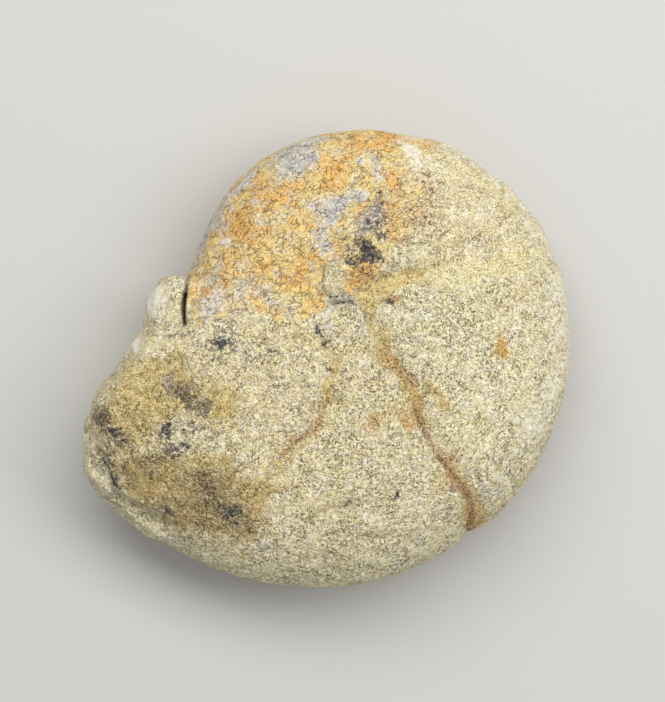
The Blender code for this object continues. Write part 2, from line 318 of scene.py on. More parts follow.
skin = remesh(stone, SKIN)
triangles = refine(skin, FINE_PLACES)
points = read_vectors(skin.vertices, "co")
normals = read_vectors(skin.vertex_normals, "vector")
print("skin:", len(points), "points,", triangles, "triangles")

# %% [markdown]
# ## Constrictions and small forms
# Where the animal paused its growth, the shell was pinched, and the stone keeps a groove across the flank.
# A groove follows a curve, so a helper gives each point's distance to a smooth line and the side it is on.
# The rest is small: a plug in the umbilicus, a few bosses and pits, and the chipped edge of the mouth.

# %% Helpers for lines, swells and noise


def swell(distance, width):
    """1 at no distance, falling smoothly to 0 at the width."""
    return smooth(1.0 - np.abs(distance) / width)


def smooth_line(points, steps=8):
    """Points on a smooth curve through the given ones."""
    points = np.array(points, float)
    ends = np.vstack([2 * points[0] - points[1], points, 2 * points[-1] - points[-2]])
    curve = []
    for before, start, end, after in zip(ends, ends[1:], ends[2:], ends[3:]):
        for t in np.linspace(0.0, 1.0, steps, endpoint=False):
            curve.append(0.5 * (2 * start + (end - before) * t
                                + (2 * before - 5 * start + 4 * end - after) * t * t
                                + (3 * start - before - 3 * end + after) * t**3))
    return np.array(curve + [points[-1]])


def distance_to(line, x, y):
    """Distance from each point to a curve, its side (1 is left), and the share of the curve behind it."""
    nearest = np.full(x.shape, 1e9)
    side = np.zeros(x.shape)
    share = np.zeros(x.shape)
    curve = smooth_line(line)
    for index, ((x0, y0), (x1, y1)) in enumerate(zip(curve, curve[1:])):
        dx, dy = x1 - x0, y1 - y0
        along = np.clip(((x - x0) * dx + (y - y0) * dy) / (dx * dx + dy * dy), 0.0, 1.0)
        gap = np.hypot(x - x0 - along * dx, y - y0 - along * dy)
        left = (dx * (y - y0) - dy * (x - x0)) / math.hypot(dx, dy)
        closer = gap < nearest
        nearest = np.where(closer, gap, nearest)
        side = np.where(closer, np.where(left > 0, 1.0, -1.0), side)
        share = np.where(closer, (index + along) / (len(curve) - 1), share)
    return nearest, side, share


def noise_at(points, size, seed):
    """Smooth noise from -1 to 1 at each point, with lumps of the given size."""
    shift = Vector((17.3, 5.1, 9.7)) * seed
    return np.array([noise.noise(Vector(point) / size + shift) for point in points])


# %% Lines and lumps of this stone
MAIN_CONSTRICTION = ((8.2, -6.5), (11.3, -10.7), (13.7, -13.9), (15.5, -19.2), (17.1, -23.0), (19.7, -28.1),
                     (22.2, -32.4), (25.3, -35.5), (27.3, -38.4), (28.2, -41.3), (27.4, -43.6),
                     (27.0, -46.2), (27.3, -49.0), (27.8, -56.0))
INNER_CONSTRICTION = ((-1.9, -4.9), (-3.0, -11.9), (-3.4, -14.5), (-4.2, -17.9), (-6.3, -21.4),
                      (-9.3, -24.3), (-11.9, -26.9), (-14.2, -29.4), (-18.6, -37.3))
EARLY_CONSTRICTION = ((5.8, 8.2), (9.5, 9.8), (13.7, 11.1), (18.0, 12.3), (23.5, 15.8), (31.0, 16.6),
                      (42.3, 16.2), (52.0, 15.2))
# Line, width left and right, depth in mm, share of the depth lost by the outer end.
CONSTRICTIONS = ((MAIN_CONSTRICTION, 4.6, 2.4, 1.15, 0.0), (INNER_CONSTRICTION, 3.8, 2.6, 1.0, 0.95),
                 (EARLY_CONSTRICTION, 3.0, 4.6, 1.05, 0.4))
CONSTRICTION_FROM, CONSTRICTION_FADE = 3.0, 7.0
LAST_STRETCH = (0.55, 0.95)
# The gap between the ear and the older whorl: a slit, and the shallow crease that leads up from it.
GAP_LINE = ((-35.5, 6.2), (-35.7, 4.4), (-35.7, 2.8), (-35.6, 1.2), (-35.4, -0.3))
CREASE_LINE = ((-34.6, 11.6), (-35.1, 9.0), (-35.3, 7.6))
GAPS = ((GAP_LINE, 0.8, 4.5), (CREASE_LINE, 0.6, 1.8))  # line, half-width and depth
CHIPPED_EDGE = ((-61.0, -19.0), (-57.2, -22.8), (-54.3, -27.0), (-52.3, -29.5), (-51.8, -32.8),
                (-50.7, -36.4), (-46.9, -38.8), (-42.0, -41.1), (-39.6, -43.1), (-37.3, -45.5),
                (-36.4, -52.0))
CHIPPED_TOP = (12.6, 9.6)
CHIPPED_STEP, CHIPPED_WALL, CHIPPED_SLOPE = 1.9, 0.9, 0.3
CHIP_SIZE, CHIP_HEIGHT, CHIP_SEED = 2.4, 1.7, 12
# Place, radius and height of each boss; a pit has a negative height.
LUMPS = ((7.9, 2.6, 3.5, 0.75), (9.6, 4.7, 1.9, -0.6), (-2.4, 8.2, 4.8, 0.55), (-44.8, 3.6, 2.6, 0.5),
         (-43.0, -27.0, 12.8, -0.4), (-30.0, -42.0, 8.0, -0.6), (36.0, -36.0, 14.4, 0.4),
         (-18.0, 30.0, 14.4, 0.4), (30.0, 38.0, 9.6, -0.5), (-40.2, -42.3, 2.9, -0.9),
         (20.0, -14.0, 11.2, 0.35), (46.0, 2.0, 12.8, 0.3), (24.4, 18.5, 3.4, 0.35), (31.0, 24.5, 5.0, 0.4),
         (22.0, 28.0, 4.5, -0.3), (40.0, 18.0, 4.0, 0.3), (26.0, 34.0, 5.0, 0.3), (17.0, 16.0, 3.6, -0.3))
PLUG_AT, PLUG_RADIUS, PLUG_HEIGHT = (-0.2, 0.45), 5.0, 0.35
RING_RADIUS, RING_WIDTH, RING_DEPTH = 4.0, 0.6, 0.45
LIP_RADIUS, LIP_WIDTH, LIP_HEIGHT = 3.4, 0.6, 0.15
UPPER_SIDE = 3.0
SWELL_SIZE, SWELL_HEIGHT, SWELL_SEED = 17.0, 0.55, 1
FACET_SIZE, FACET_HEIGHT, FACET_SEED = 7.0, 0.9, 2
FACETS_INSIDE, FACETS_RISE = 36.0, 5.0

# %% [markdown]
# ## Weathering
# Ground water and handling left the stone uneven at every scale. Broad swells come first, then lumps where
# it broke, faint ridges that fan out from the umbilicus, narrow cracks, and a skin of shallow pits a
# millimetre or two wide. Anything smaller than the skin's points is left to the material.

# %% Carve the stone
TONGUE_CRACK = ((-4.4, 12.4), (-4.9, 11.1), (-5.05, 9.2), (-5.0, 7.6), (-4.4, 6.5), (-3.3, 5.4))
PLUG_CRACK = ((-3.2, 4.0), (-2.5, 4.1), (-0.6, 4.5), (0.6, 4.4), (1.8, 3.9))
FOLD_CRACK = ((-3.3, 5.6), (-1.8, 5.8), (-0.4, 5.8), (1.2, 4.9))
# Line, half-width and depth of the cracks and the narrow beds of the grooves.
CRACKS = ((TONGUE_CRACK, 0.7, 0.6), (PLUG_CRACK, 0.7, 0.45), (FOLD_CRACK, 0.6, 0.25),
          (MAIN_CONSTRICTION, 1.1, 0.3),
          (((-8.8, -24.0), (-10.2, -25.6), (-12.0, -27.4), (-14.2, -29.6)), 1.0, 0.25),
          (((-36.0, -27.0), (-33.4, -24.8), (-30.5, -22.5)), 0.8, 0.35),
          (((-51.5, -34.5), (-50.9, -35.6), (-50.0, -36.4)), 0.8, 0.4),
          (((-7.2, -42.2), (-4.0, -41.0), (0.2, -39.0)), 1.1, 0.3),
          (((-34.9, -0.4), (-32.0, -1.8), (-28.2, -2.0), (-24.6, -3.2)), 1.2, 0.3))
# Sizes, heights and depths in mm. A steeper patch has a harder edge, and a higher level covers more.
PIT_SIZE, PIT_DEPTH, PIT_SEED = 2.6, 0.3, 5
PIT_STEEPNESS, PIT_LEVEL = 2.4, -0.4
GRAIN_SIZE, GRAIN_HEIGHT, GRAIN_SEED = 1.1, 0.07, 7
RIDGE_WIDTH, RIDGE_LENGTH, RIDGE_HEIGHT, RIDGE_SEED = 2.6, 9.0, 0.22, 9
RIDGES_FROM, RIDGES_RISE = 8.0, 10.0
RIDGE_STEEPNESS, RIDGE_LEVEL = 4.0, 0.7
DRAWN_IN = 20.0  # mm from the umbilicus: nearer in, the ridges draw together


def along_normals(points):
    """How far out each point goes along its normal: swells, broken lumps, constrictions, ridges and pits."""
    x, y, _ = points.T
    radius = np.hypot(x, y)
    turned = turn_back(np.degrees(np.arctan2(y, x)))
    out = SWELL_HEIGHT * noise_at(points, SWELL_SIZE, SWELL_SEED)

    broken = smooth((turned - turn_back(BROKEN_FROM)) / BROKEN_BLEND)
    broken = broken * smooth((turn_back(EAR_TIP) - turned) / TIP_BLEND)
    broken = broken * smooth((radius - FACETS_INSIDE) / FACETS_RISE)
    out = out + FACET_HEIGHT * broken * noise_at(points, FACET_SIZE, FACET_SEED)

    first, last = LAST_STRETCH
    for line, left_width, right_width, depth, lost in CONSTRICTIONS:
        gap, side, along = distance_to(line, x, y)
        cut = depth * smooth((radius - CONSTRICTION_FROM) / CONSTRICTION_FADE)
        cut = cut * (1.0 - lost * smooth((along - first) / (last - first)))
        out = out - cut * swell(gap, np.where(side > 0.0, left_width, right_width))

    round_coil = np.radians(turned) * np.maximum(radius, DRAWN_IN)
    fanned = np.column_stack([round_coil / RIDGE_WIDTH, radius / RIDGE_LENGTH, points[:, 2] / RIDGE_LENGTH])
    ridges = noise_at(fanned, 1.0, RIDGE_SEED) * smooth((radius - RIDGES_FROM) / RIDGES_RISE)
    ridged = smooth(RIDGE_STEEPNESS * noise_at(points, SWELL_SIZE, RIDGE_SEED) + RIDGE_LEVEL)
    out = out + RIDGE_HEIGHT * ridges * ridged
    out = out - PIT_DEPTH * smooth(PIT_STEEPNESS * noise_at(points, PIT_SIZE, PIT_SEED) + PIT_LEVEL)
    return out + GRAIN_HEIGHT * noise_at(points, GRAIN_SIZE, GRAIN_SEED)


def upwards(x, y):
    """How far up each point of the upper flank goes: lumps and pits, the plug, the gap and the cracks."""
    radius = np.hypot(x - PLUG_AT[0], y - PLUG_AT[1])
    up = PLUG_HEIGHT * swell(radius, PLUG_RADIUS) + LIP_HEIGHT * swell(radius - LIP_RADIUS, LIP_WIDTH)
    up = up - RING_DEPTH * swell(radius - RING_RADIUS, RING_WIDTH)
    for lump_x, lump_y, size, height in LUMPS:
        up = up + height * swell(np.hypot(x - lump_x, y - lump_y), size)
    for line, half_width, depth in (*GAPS, *CRACKS):
        up = up - depth * swell(distance_to(line, x, y)[0], half_width)
    return up


def chipped(points):
    """The points, with the rim outside the chipped edge brought down to its ledge."""
    x, y, z = points.T
    gap, side, along = distance_to(CHIPPED_EDGE, x, y)
    ledge = mix(*CHIPPED_TOP, along) - CHIPPED_STEP * smooth(gap / CHIPPED_WALL) - CHIPPED_SLOPE * gap
    ledge = ledge + CHIP_HEIGHT * noise_at(points, CHIP_SIZE, CHIP_SEED)
    outside = (side < 0.0) & (turn_back(np.degrees(np.arctan2(y, x))) > HALF_TURN)
    return np.column_stack([x, y, np.where(outside & (z > ledge), ledge, z)])


upper = smooth(points[:, 2] / UPPER_SIDE + 0.5)
up = upwards(points[:, 0], points[:, 1]) * upper
carved = points + normals * along_normals(points)[:, None]
carved[:, 2] += up
carved = chipped(carved)
carved[:, 2] = np.maximum(carved[:, 2], -RESTING_FACE)
print("carved up to", round(float(np.abs(carved - points).max()), 2), "mm")

# %% [markdown]
# ## Into the part's box
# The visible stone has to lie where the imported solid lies, so its box is brought on to the part's box. That
# moves it by the same shift as the solid, and makes it smaller by less than a grain of sand.

# %% Fit the stone to the part
SPARE = 0.02  # mm kept free inside the part's box
low, high = carved.min(axis=0), carved.max(axis=0)
box_low, box_high = np.array(cad_low) / MM + SPARE, np.array(cad_high) / MM - SPARE
stretch = (box_high - box_low) / (high - low)
umbilicus = box_low - low * stretch
skin.vertices.foreach_set("co", ((carved * stretch + umbilicus) * MM).astype(np.float32).ravel())
skin.update()
skin.shade_smooth()
print("stretched by", stretch.round(4), "with the umbilicus at", umbilicus.round(2), "mm")

# %% [markdown]
# ## Where the stains lie
# Iron and manganese in the ground water stained the stone in patches, each with its own place, so they
# can't come from noise alone. Each kind of stain is written down as spots and streaks in millimetres about
# the umbilicus, worked out as a strength from 0 to 1 at every point of the skin, and kept on the mesh as an
# attribute. The material later breaks up the soft edges of these patches.

# %% Helpers for stains
COIL_PLACES = carved  # the skin's points, about the umbilicus
# Lump size, reach in mm and seed of the noise that makes the stains' outlines wander.
WANDER = ((5.0, 1.5, 41), (1.7, 0.9, 43))
still = COIL_PLACES[:, :2].T
wandering = still + sum(
    reach * np.array([noise_at(COIL_PLACES, size, seed), noise_at(COIL_PLACES, size, seed + 1)])
    for size, reach, seed in WANDER)
STAINS_UNDER = 0.9  # how far stains reach below the mid-plane, in parts of the upper side's blend
on_top = smooth(COIL_PLACES[:, 2] / UPPER_SIDE + STAINS_UNDER)
FALLOFF = 0.7


def stain(spots=(), streaks=(), places=wandering):
    """Strength at each point. Spots are (x, y, radius, strength); streaks (line, half-width, strength)."""
    across, away = places
    clear = np.ones(len(across))
    for spot_x, spot_y, size, strength in spots:
        off = ((across - spot_x) ** 2 + (away - spot_y) ** 2) / size**2
        clear = clear * (1.0 - strength * np.exp(-FALLOFF * off))
    for line, half_width, strength in streaks:
        gap = distance_to(line, across, away)[0]
        clear = clear * (1.0 - strength * np.exp(-FALLOFF * (gap / half_width) ** 2))
    return 1.0 - clear


def area(outline, fade):
    """1 inside an outline given anticlockwise, falling to 0 outside it over so many mm."""
    gap, side, _ = distance_to((*outline, outline[0]), *wandering)
    return smooth(gap * side / fade + 0.5)


def keep(name, strength):
    """Keeps a strength on the mesh as an attribute."""
    attribute = skin.attributes.new(name, "FLOAT", "POINT")
    attribute.data.foreach_set("value", strength.astype(np.float32))
    print(f"{name}: {100 * float((strength > 0.5).mean()):.1f}% of the skin")


# %% Orange and grey on the older whorl
OLDER_WHORL = ((-34, 5), (-33.4, 0.5), (-31, 0), (-26, 1.5), (-21, 2.5), (-16, 0.5), (-11, 1.5), (-7, 2),
               (-5, 4), (-4.6, 12), (0, 12), (0, 7), (5, 7), (7.5, 10), (7, 13), (11, 16), (15, 20),
               (15, 23), (19, 26), (18, 31), (16, 34), (20, 37), (22, 46), (0, 48), (-25, 42), (-42, 22),
               (-35.5, 12))
WHORL_FADE, WHORL_UNDERNEATH = 5.0, 0.75
# To the right the stain fades, but not along the rim.
FADES_FROM, FADES_OVER, FADED = 5.0, 9.0, 0.56
FADES_BELOW, FADES_UP_OVER = 40.0, 4.0
fading = smooth((still[0] - FADES_FROM) / FADES_OVER) * smooth((FADES_BELOW - still[1]) / FADES_UP_OVER)
keep("whorl stain",
     area(OLDER_WHORL, WHORL_FADE) * mix(WHORL_UNDERNEATH, 1.0, on_top) * mix(1.0, FADED, fading))
keep("orange", on_top * stain(
    spots=((-24, 24, 3.4, 0.8), (-24.2, 20, 2.4, 0.95), (-19, 29, 3.4, 0.75), (-13.5, 28.5, 2.6, 0.65),
           (-20, 19, 3.0, 0.5), (-15, 24.5, 1.6, 0.6), (-11.5, 21, 1.4, 0.7), (-10.5, 16.5, 2.6, 0.8),
           (-7, 14, 2.4, 0.8), (-21, 15, 1.8, 0.6), (-17.5, 13.5, 1.8, 0.55), (-12, 10.5, 2.2, 0.6),
           (-8, 8, 2.4, 0.65), (-9, 31.5, 1.8, 0.5), (-3.5, 35, 2.8, 0.6), (-2, 30.5, 2.4, 0.5),
           (1, 40, 2.8, 0.7), (5, 31, 1.8, 0.4), (17.5, 39.3, 1.8, 0.6), (10, 31, 2.0, 0.4),
           (13, 25, 2.6, 0.3), (17, 27, 1.6, 0.3), (12.2, 19, 2.0, 0.35), (3, 9.4, 2.6, 0.95),
           (6, 11.6, 2.0, 0.8), (-31, 7, 1.6, 0.7), (-26, 4.2, 1.2, 0.6), (-33, 12, 1.2, 0.4)),
    streaks=((((6, 40.4), (10, 40.6), (13, 40.2)), 1.4, 0.8), (((14, 40.6), (19, 40.2)), 0.8, 0.9))))
keep("grey", on_top * stain(
    spots=((-11.5, 35, 2.6, 0.95), (-8, 36.5, 1.8, 0.9), (-14.5, 31.8, 1.4, 0.6), (-20, 26.5, 1.1, 0.7),
           (-18, 22.5, 1.5, 0.6), (-27.5, 22, 1.6, 0.6), (-3.5, 23.2, 2.6, 0.95), (-1.5, 26.2, 2.0, 0.85),
           (2.5, 28, 1.6, 0.8), (-7, 26, 1.6, 0.6), (-6, 19.5, 1.5, 0.8), (-4.3, 16.5, 1.6, 0.85),
           (-2.6, 13, 1.6, 0.7), (3, 36, 1.1, 0.8), (7, 35.5, 1.3, 0.7), (8, 32.8, 1.0, 0.6),
           (5, 22.5, 2.6, 0.6), (-29, 10.5, 1.6, 0.5), (-23, 8, 2.0, 0.4), (-17, 5.5, 2.2, 0.35),
           (-23.5, 4.0, 2.8, 0.45), (-28, 6.5, 2.2, 0.4), (-12.5, 2.0, 1.2, 0.6), (-30, 3, 3.0, 0.65),
           (-31.5, 9, 1.8, 0.5), (-28, 14, 1.4, 0.5), (-14.5, 19, 1.4, 0.4), (31, -36, 2.4, 0.35),
           (38, 22, 1.3, 0.3), (-27, -3.5, 2.4, 0.5), (-5.4, -2.3, 1.4, 0.7), (6.5, 25, 1.4, 0.6),
           (6.3, 33, 1.2, 0.5)),
    streaks=((((-33.5, 13), (-30.5, 21), (-26.5, 27.5), (-21, 33)), 1.0, 0.8),
             (((-15, 36.5), (-9.5, 39.5), (-4, 41)), 1.0, 0.8), (((-20.5, 9), (-14, 3)), 1.2, 0.4))))

# %% [markdown]
# ## Manganese, shade in the cracks, calcite and highlights
# Manganese leaves black and umber dots, and calcite left from the shell shows white. The cracks and the slit
# beside the ear are painted dark as shade, and the ear and the rim get painted highlights.
# Painted by noise they would fall anywhere, so they are placed like the other stains. The narrow ones use the
# skin's places as they are, because wandering would break their lines.

# %% Black and umber marks
keep("black", on_top * stain(
    spots=((2.2, 18.0, 1.0, 0.7), (4.0, 16.6, 1.7, 0.9), (5.2, 15.0, 1.3, 0.9), (0.6, 13.2, 0.9, 0.6),
           (3.6, 14.6, 0.9, 0.6), (7.2, 14.0, 0.8, 0.8), (6.6, 28.8, 1.2, 0.8), (7.6, 19.8, 1.1, 0.8),
           (5.8, 22.4, 1.3, 0.6), (7.2, 25.5, 1.3, 0.5), (-0.2, 18.4, 0.8, 0.6), (-6.3, -2.0, 1.0, 0.9),
           (-5.2, -3.1, 0.8, 0.85), (-4.2, -4.5, 0.6, 0.85), (-3.7, -10.0, 0.9, 0.7),
           (-27.1, -4.5, 1.1, 0.9), (-28.8, -3.2, 1.0, 0.5), (-25.4, -5.4, 0.9, 0.55),
           (-29.6, -5.0, 0.6, 0.5), (-27.0, -2.0, 0.6, 0.45), (-29.4, -7.6, 0.6, 0.5),
           (-23.6, -7.4, 0.6, 0.45), (-26.6, -8.4, 0.6, 0.4), (-16.1, -5.9, 0.9, 0.8),
           (-14.9, -6.4, 0.7, 0.5), (26.2, -28.1, 0.4, 0.7), (-40.0, -23.4, 1.3, 0.95),
           (-38.6, -21.7, 1.0, 0.7), (-50.5, -23.7, 1.3, 0.95), (-49.3, -26.0, 1.0, 0.8),
           (-33.5, -22.3, 0.6, 0.9), (-35.1, -24.1, 0.6, 0.9), (-32.4, -23.9, 0.5, 0.8),
           (-34.9, -27.5, 1.1, 0.8), (-38.9, -42.0, 1.1, 1.0), (-53.8, -21.5, 1.6, 0.6),
           (-25.3, -42.2, 1.6, 1.0), (-27.2, -40.4, 0.8, 0.6), (-23.8, -41.0, 0.7, 0.6),
           (-28, -45.7, 0.6, 0.6), (-23.9, -45.3, 0.6, 0.6), (-21, -45.3, 0.5, 0.6),
           (11.3, -38.1, 0.9, 0.95), (35.3, 8.2, 0.5, 0.5), (9.9, 4.8, 0.8, 0.8)),
    streaks=((((2.6, 17.6), (5.0, 16.2), (5.4, 14.4), (3.0, 13.0), (0.8, 13.0)), 0.8, 0.7),
             (((6.2, 14), (9.5, 12.4)), 0.5, 0.6),
             (((-54.0, -27), (-51.6, -31.6), (-50.6, -35.8)), 0.5, 0.55),
             (((-39.3, -3.2), (-34.4, -1.8)), 0.5, 0.4), (((-36.4, -27), (-30.6, -22.1)), 0.3, 0.5))))
keep("umber", on_top * stain(
    spots=((-35.7, -15.0, 2.2, 1.0), (-34.0, -17.4, 1.5, 0.9), (-30.6, -19.2, 1.5, 0.95),
           (-32.2, -18.2, 1.0, 0.6), (-37.2, -12.4, 1.2, 0.5), (-52.4, -20.4, 1.8, 0.65),
           (-53.0, -24.0, 1.5, 0.5), (-52.0, -27.4, 1.4, 0.5), (-39.3, -27.5, 2.0, 0.7),
           (-36.4, -28.6, 1.4, 0.5), (-42.7, -33.7, 1.1, 0.6), (-47.5, -27.0, 1.2, 0.4),
           (-31.5, -33.8, 2.0, 0.6), (-30.0, -38.5, 2.2, 0.6), (-28.6, -35.4, 1.3, 0.5),
           (-33.0, -44.2, 1.8, 0.5), (-26.0, -44.6, 1.5, 0.6), (-21.2, -44.2, 1.2, 0.5),
           (8.2, 22.6, 1.2, 0.5), (6.0, 20.6, 1.2, 0.5), (4.0, 9.2, 1.4, 0.5), (6.4, 9.8, 0.9, 0.5),
           (2.4, 11.4, 0.8, 0.4)),
    streaks=((((-45, -29.6), (-41, -30.4), (-37, -29.8)), 0.8, 0.4),
             (((-7.8, -42.9), (-6.2, -41.8)), 0.5, 0.5), (((-1.2, -39.4), (0.3, -38.5)), 0.5, 0.6),
             (((-5.6, -41.4), (-1.8, -39.8)), 0.5, 0.2))))

# %% Painted shade in the cracks, and specks
ARC_STEP = 15  # degrees


def plug_arc(radius, start, end):
    """Points on an arc about the middle of the plug."""
    return tuple((PLUG_AT[0] + radius * math.cos(turn), PLUG_AT[1] + radius * math.sin(turn))
                 for turn in np.radians(range(start, end, ARC_STEP)))


# The cracks and the slit between the ear and the older whorl are painted dark: painted shade in them.
keep("cracks", on_top * stain(
    places=still,
    streaks=((plug_arc(3.3, 140, 250), 0.22, 0.5), (plug_arc(4.3, 200, 320), 0.2, 0.45),
             (plug_arc(3.6, 300, 400), 0.2, 0.5), (plug_arc(2.5, 20, 110), 0.2, 0.4),
             (TONGUE_CRACK, 0.22, 0.62), (PLUG_CRACK, 0.26, 0.7), (FOLD_CRACK, 0.24, 0.5),
             (((-35.2, 7.4), (-35.4, 5.7), (-35.6, 3.5), (-35.5, -0.2)), 0.35, 0.9),
             (((-34.8, 10.5), (-35.1, 7.6)), 0.5, 0.6), (((9.0, 4.8), (10.2, 4.5)), 0.45, 0.8),
             (((11.9, 2.6), (12.2, 1.2), (12.3, -0.7)), 0.3, 0.5),
             (((-51.8, -33.4), (-51.2, -35.2), (-49.8, -36.6)), 0.4, 0.8),
             (((11.1, -37.7), (9.9, -40.4)), 0.3, 0.5), (((-4.8, -3.6), (-3.9, -4.6)), 0.22, 0.5),
             (((-39.8, -3.4), (-36, -2.2), (-32.5, -1.8)), 0.22, 0.4),
             (((-53.4, -39.1), (-49.5, -40.6), (-44.4, -43.1), (-40, -46.6)), 0.25, 0.5),
             (((-35.6, -27.6), (-33, -24.8), (-30.6, -22.1)), 0.2, 0.6))))
keep("specks", on_top * stain(
    spots=((-28, -8.5, 3.0, 0.8), (-29.5, -4.5, 3.0, 0.9), (-24.5, -7, 2.6, 0.8), (-25.5, -3, 2.4, 0.8),
           (-40, -27, 3.5, 0.9), (-53.5, -21, 2.8, 1.0), (-50, -26, 2.4, 0.7), (-33.5, -23.5, 3.0, 0.8),
           (-34.5, -27.5, 2.6, 0.8), (-21, -44, 2.6, 0.8), (-26, -42, 3.5, 0.7), (-39, -22.5, 2.4, 0.8),
           (3, 16, 4.0, 0.9), (7, 22, 3.0, 0.6), (3, 10, 3.0, 0.7), (-32, -39, 5.0, 0.6),
           (-16, -6, 2.0, 0.6), (-35, -15, 3.0, 0.6), (7, 28, 2.0, 0.6), (17, 21, 2.4, 0.4)),
    streaks=((((-39.3, -3.0), (-33, -1.9), (-28, -1.6)), 0.8, 0.6),)))

# %% White marks, painted highlights on the ear and the rim, and lemon marks
CHIP_MARK_FADE, CHIP_MARK_FROM = 5.0, 0.4
# White calcite chips, and on the ear a painted highlight; the mark is weaker low on the stone.
white_chip_and_highlight = smooth(COIL_PLACES[:, 2] / CHIP_MARK_FADE + CHIP_MARK_FROM) * stain(
    places=still,
    spots=((-46.4, -4.6, 1.0, 1.0), (-46.0, -6.2, 0.6, 0.8), (-42.0, 5.0, 1.4, 0.9), (-42.6, 2.0, 1.0, 0.6)))
# The white is calcite, except on the ear, where it is partly a painted highlight.
keep("white", on_top * np.maximum(white_chip_and_highlight, stain(
    spots=((-27.3, 18.5, 1.2, 0.9), (-25.6, 17.4, 0.9, 0.7), (-41.8, 5, 2.0, 0.9), (-46.3, -4.6, 1.1, 0.95),
           (8.3, 2.0, 2.3, 0.35), (-9.5, 25.5, 1.0, 0.4), (-9.8, 40, 0.8, 0.6), (14.5, 38.5, 2.0, 0.5),
           (16.5, 35, 2.5, 0.4), (34, -33, 4.0, 0.2)),
    streaks=((((23, 40.5), (28, 37.5), (34, 32)), 1.0, 0.5), (((-42, 8), (-43.8, 2)), 1.2, 0.6),
             (((-56.5, -30), (-52.5, -38), (-46, -44)), 2.0, 0.2), (((11.5, 40.4), (15, 37.5)), 0.8, 0.5),
             (((47.6, 8), (48.4, -4), (46.2, -14), (41, -25)), 3.0, 0.45)))))
# Along the upper and right rim a pale band is painted: partly the shell's own pale edge, partly a painted
# highlight that keeps the rim bright where it turns away from the light.
LIT_RIM_LINE = ((14, 42.5), (22, 41.2), (30, 37.6), (37.5, 31.5), (43.5, 24), (48, 15), (50.6, 6), (51.5, -3),
            (51.0, -12))
keep("pale and lit rim", on_top * stain(places=still, streaks=((LIT_RIM_LINE, 1.6, 0.8),)))
keep("pale ring", on_top * stain(
    places=still,
    streaks=((plug_arc(3.9, 130, 250), 0.8, 0.8), (plug_arc(3.9, 265, 390), 0.6, 0.7))))
keep("lemon", on_top * stain(
    spots=((24.4, 18.5, 2.2, 0.5), (16, 30, 3.0, 0.3)),
    streaks=((((9, 7.6), (18, 9.6), (28, 11.2), (40, 14.0)), 2.2, 0.7),
             (((12, 39), (22, 35.6), (31, 31), (38, 24)), 1.8, 0.6))))

# %% Olive rings and painted shade, lilac haze and peach fronds
keep("olive rings and shade", on_top * stain(
    places=mix(still, wandering, 0.5),
    spots=((21.3, 23.4, 1.1, 0.9), (17.3, 18.7, 0.7, 0.6), (32.7, 18.0, 0.7, 0.7), (36, 5.1, 0.8, 0.8),
           (40, 1.5, 0.9, 0.9), (40.2, 6.9, 0.8, 0.8), (35.3, 8.2, 0.5, 0.6), (22.2, 0.2, 0.8, 0.7),
           (10.4, 13.1, 0.9, 0.9), (17.6, -9.2, 0.8, 0.9), (24.5, -3.5, 0.7, 0.5), (29, -12, 0.7, 0.5),
           (43.5, -6, 0.7, 0.6), (34, 12.5, 0.6, 0.5), (-0.4, -43.7, 1.0, 0.7), (-9, -47.3, 0.9, 0.6),
           (-9, -51.2, 1.6, 0.7), (-3.2, -50.7, 0.9, 0.9), (-17.7, -43.7, 0.8, 0.7), (7, -47, 0.7, 0.5),
           (-17.4, -25, 1.3, 0.5), (19.5, -34.6, 1.6, 0.6), (-2.5, -26, 1.6, 0.45), (13, -43, 0.8, 0.5),
           (-20.5, -12, 0.9, 0.5), (36.7, 19.6, 0.6, 0.8), (38.5, 22, 0.8, 0.5), (12.5, 24.5, 1.2, 0.4),
           (28, 21.5, 0.8, 0.4), (30.6, 15.2, 1.6, 0.5), (19.5, 15.2, 1.6, 0.5), (-13, -14, 0.8, 0.4),
           (-23, -24, 1.0, 0.4)),
    # The streaks in the upper right, the one just over the early constriction among them, are painted shade
    # on the relief; the spots and the two lower streaks are olive stains.
    streaks=((((-7.8, -42.8), (-4, -40.6), (0, -38.9)), 0.8, 0.75),
             (((17.5, -13.4), (20.4, -15.6), (23.3, -18.3)), 0.7, 0.7),
             (((8, 9.8), (13, 11.6), (18, 12.4), (25.5, 14.6)), 0.6, 0.75),
             (((16, 33.5), (24, 30.5), (33, 29)), 0.9, 0.35),
             (((14, 16.5), (20, 18.4), (24, 21)), 0.5, 0.5), (((12, 28), (20, 26), (28, 27)), 1.0, 0.35),
             (((20, 22.5), (28, 22), (36, 24)), 0.9, 0.3), (((24, 31.5), (32, 28), (38, 22)), 1.0, 0.35),
             (((14, 20), (22, 20.6), (32, 20)), 0.8, 0.35),
             (((30, 13.6), (38, 13.6), (46, 12)), 0.9, 0.35))))
keep("lilac", on_top * stain(
    places=still,
    spots=((-1.6, 5.0, 1.2, 0.6), (0.6, 5.0, 1.3, 0.6), (1.6, 4.0, 1.0, 0.5), (-39.1, -13.0, 1.5, 0.8),
           (5.0, 21.4, 2.4, 0.75), (7.2, 24.0, 1.8, 0.65), (1.0, 16.4, 1.2, 0.6), (3.0, 19.6, 1.2, 0.6)),
    streaks=((((-3.4, 4.8), (-1.5, 5.2), (1.0, 4.8)), 0.6, 0.7),)))
keep("fronds", on_top * stain(
    spots=((18.0, 31.2, 2.6, 0.85), (21, 29.0, 1.4, 0.5), (15.5, 24.0, 2.6, 0.9), (18.4, 22.6, 1.0, 0.5),
           (12.6, 18.2, 1.5, 0.9), (13, 33.5, 2.4, 0.6), (9.4, 22.4, 2.6, 0.75), (6.4, 26.4, 1.6, 0.5),
           (9.2, 13.8, 1.3, 0.8), (11, 28, 2.2, 0.6), (3.4, 9.6, 2.2, 0.6), (5.6, 11.0, 1.6, 0.6))))

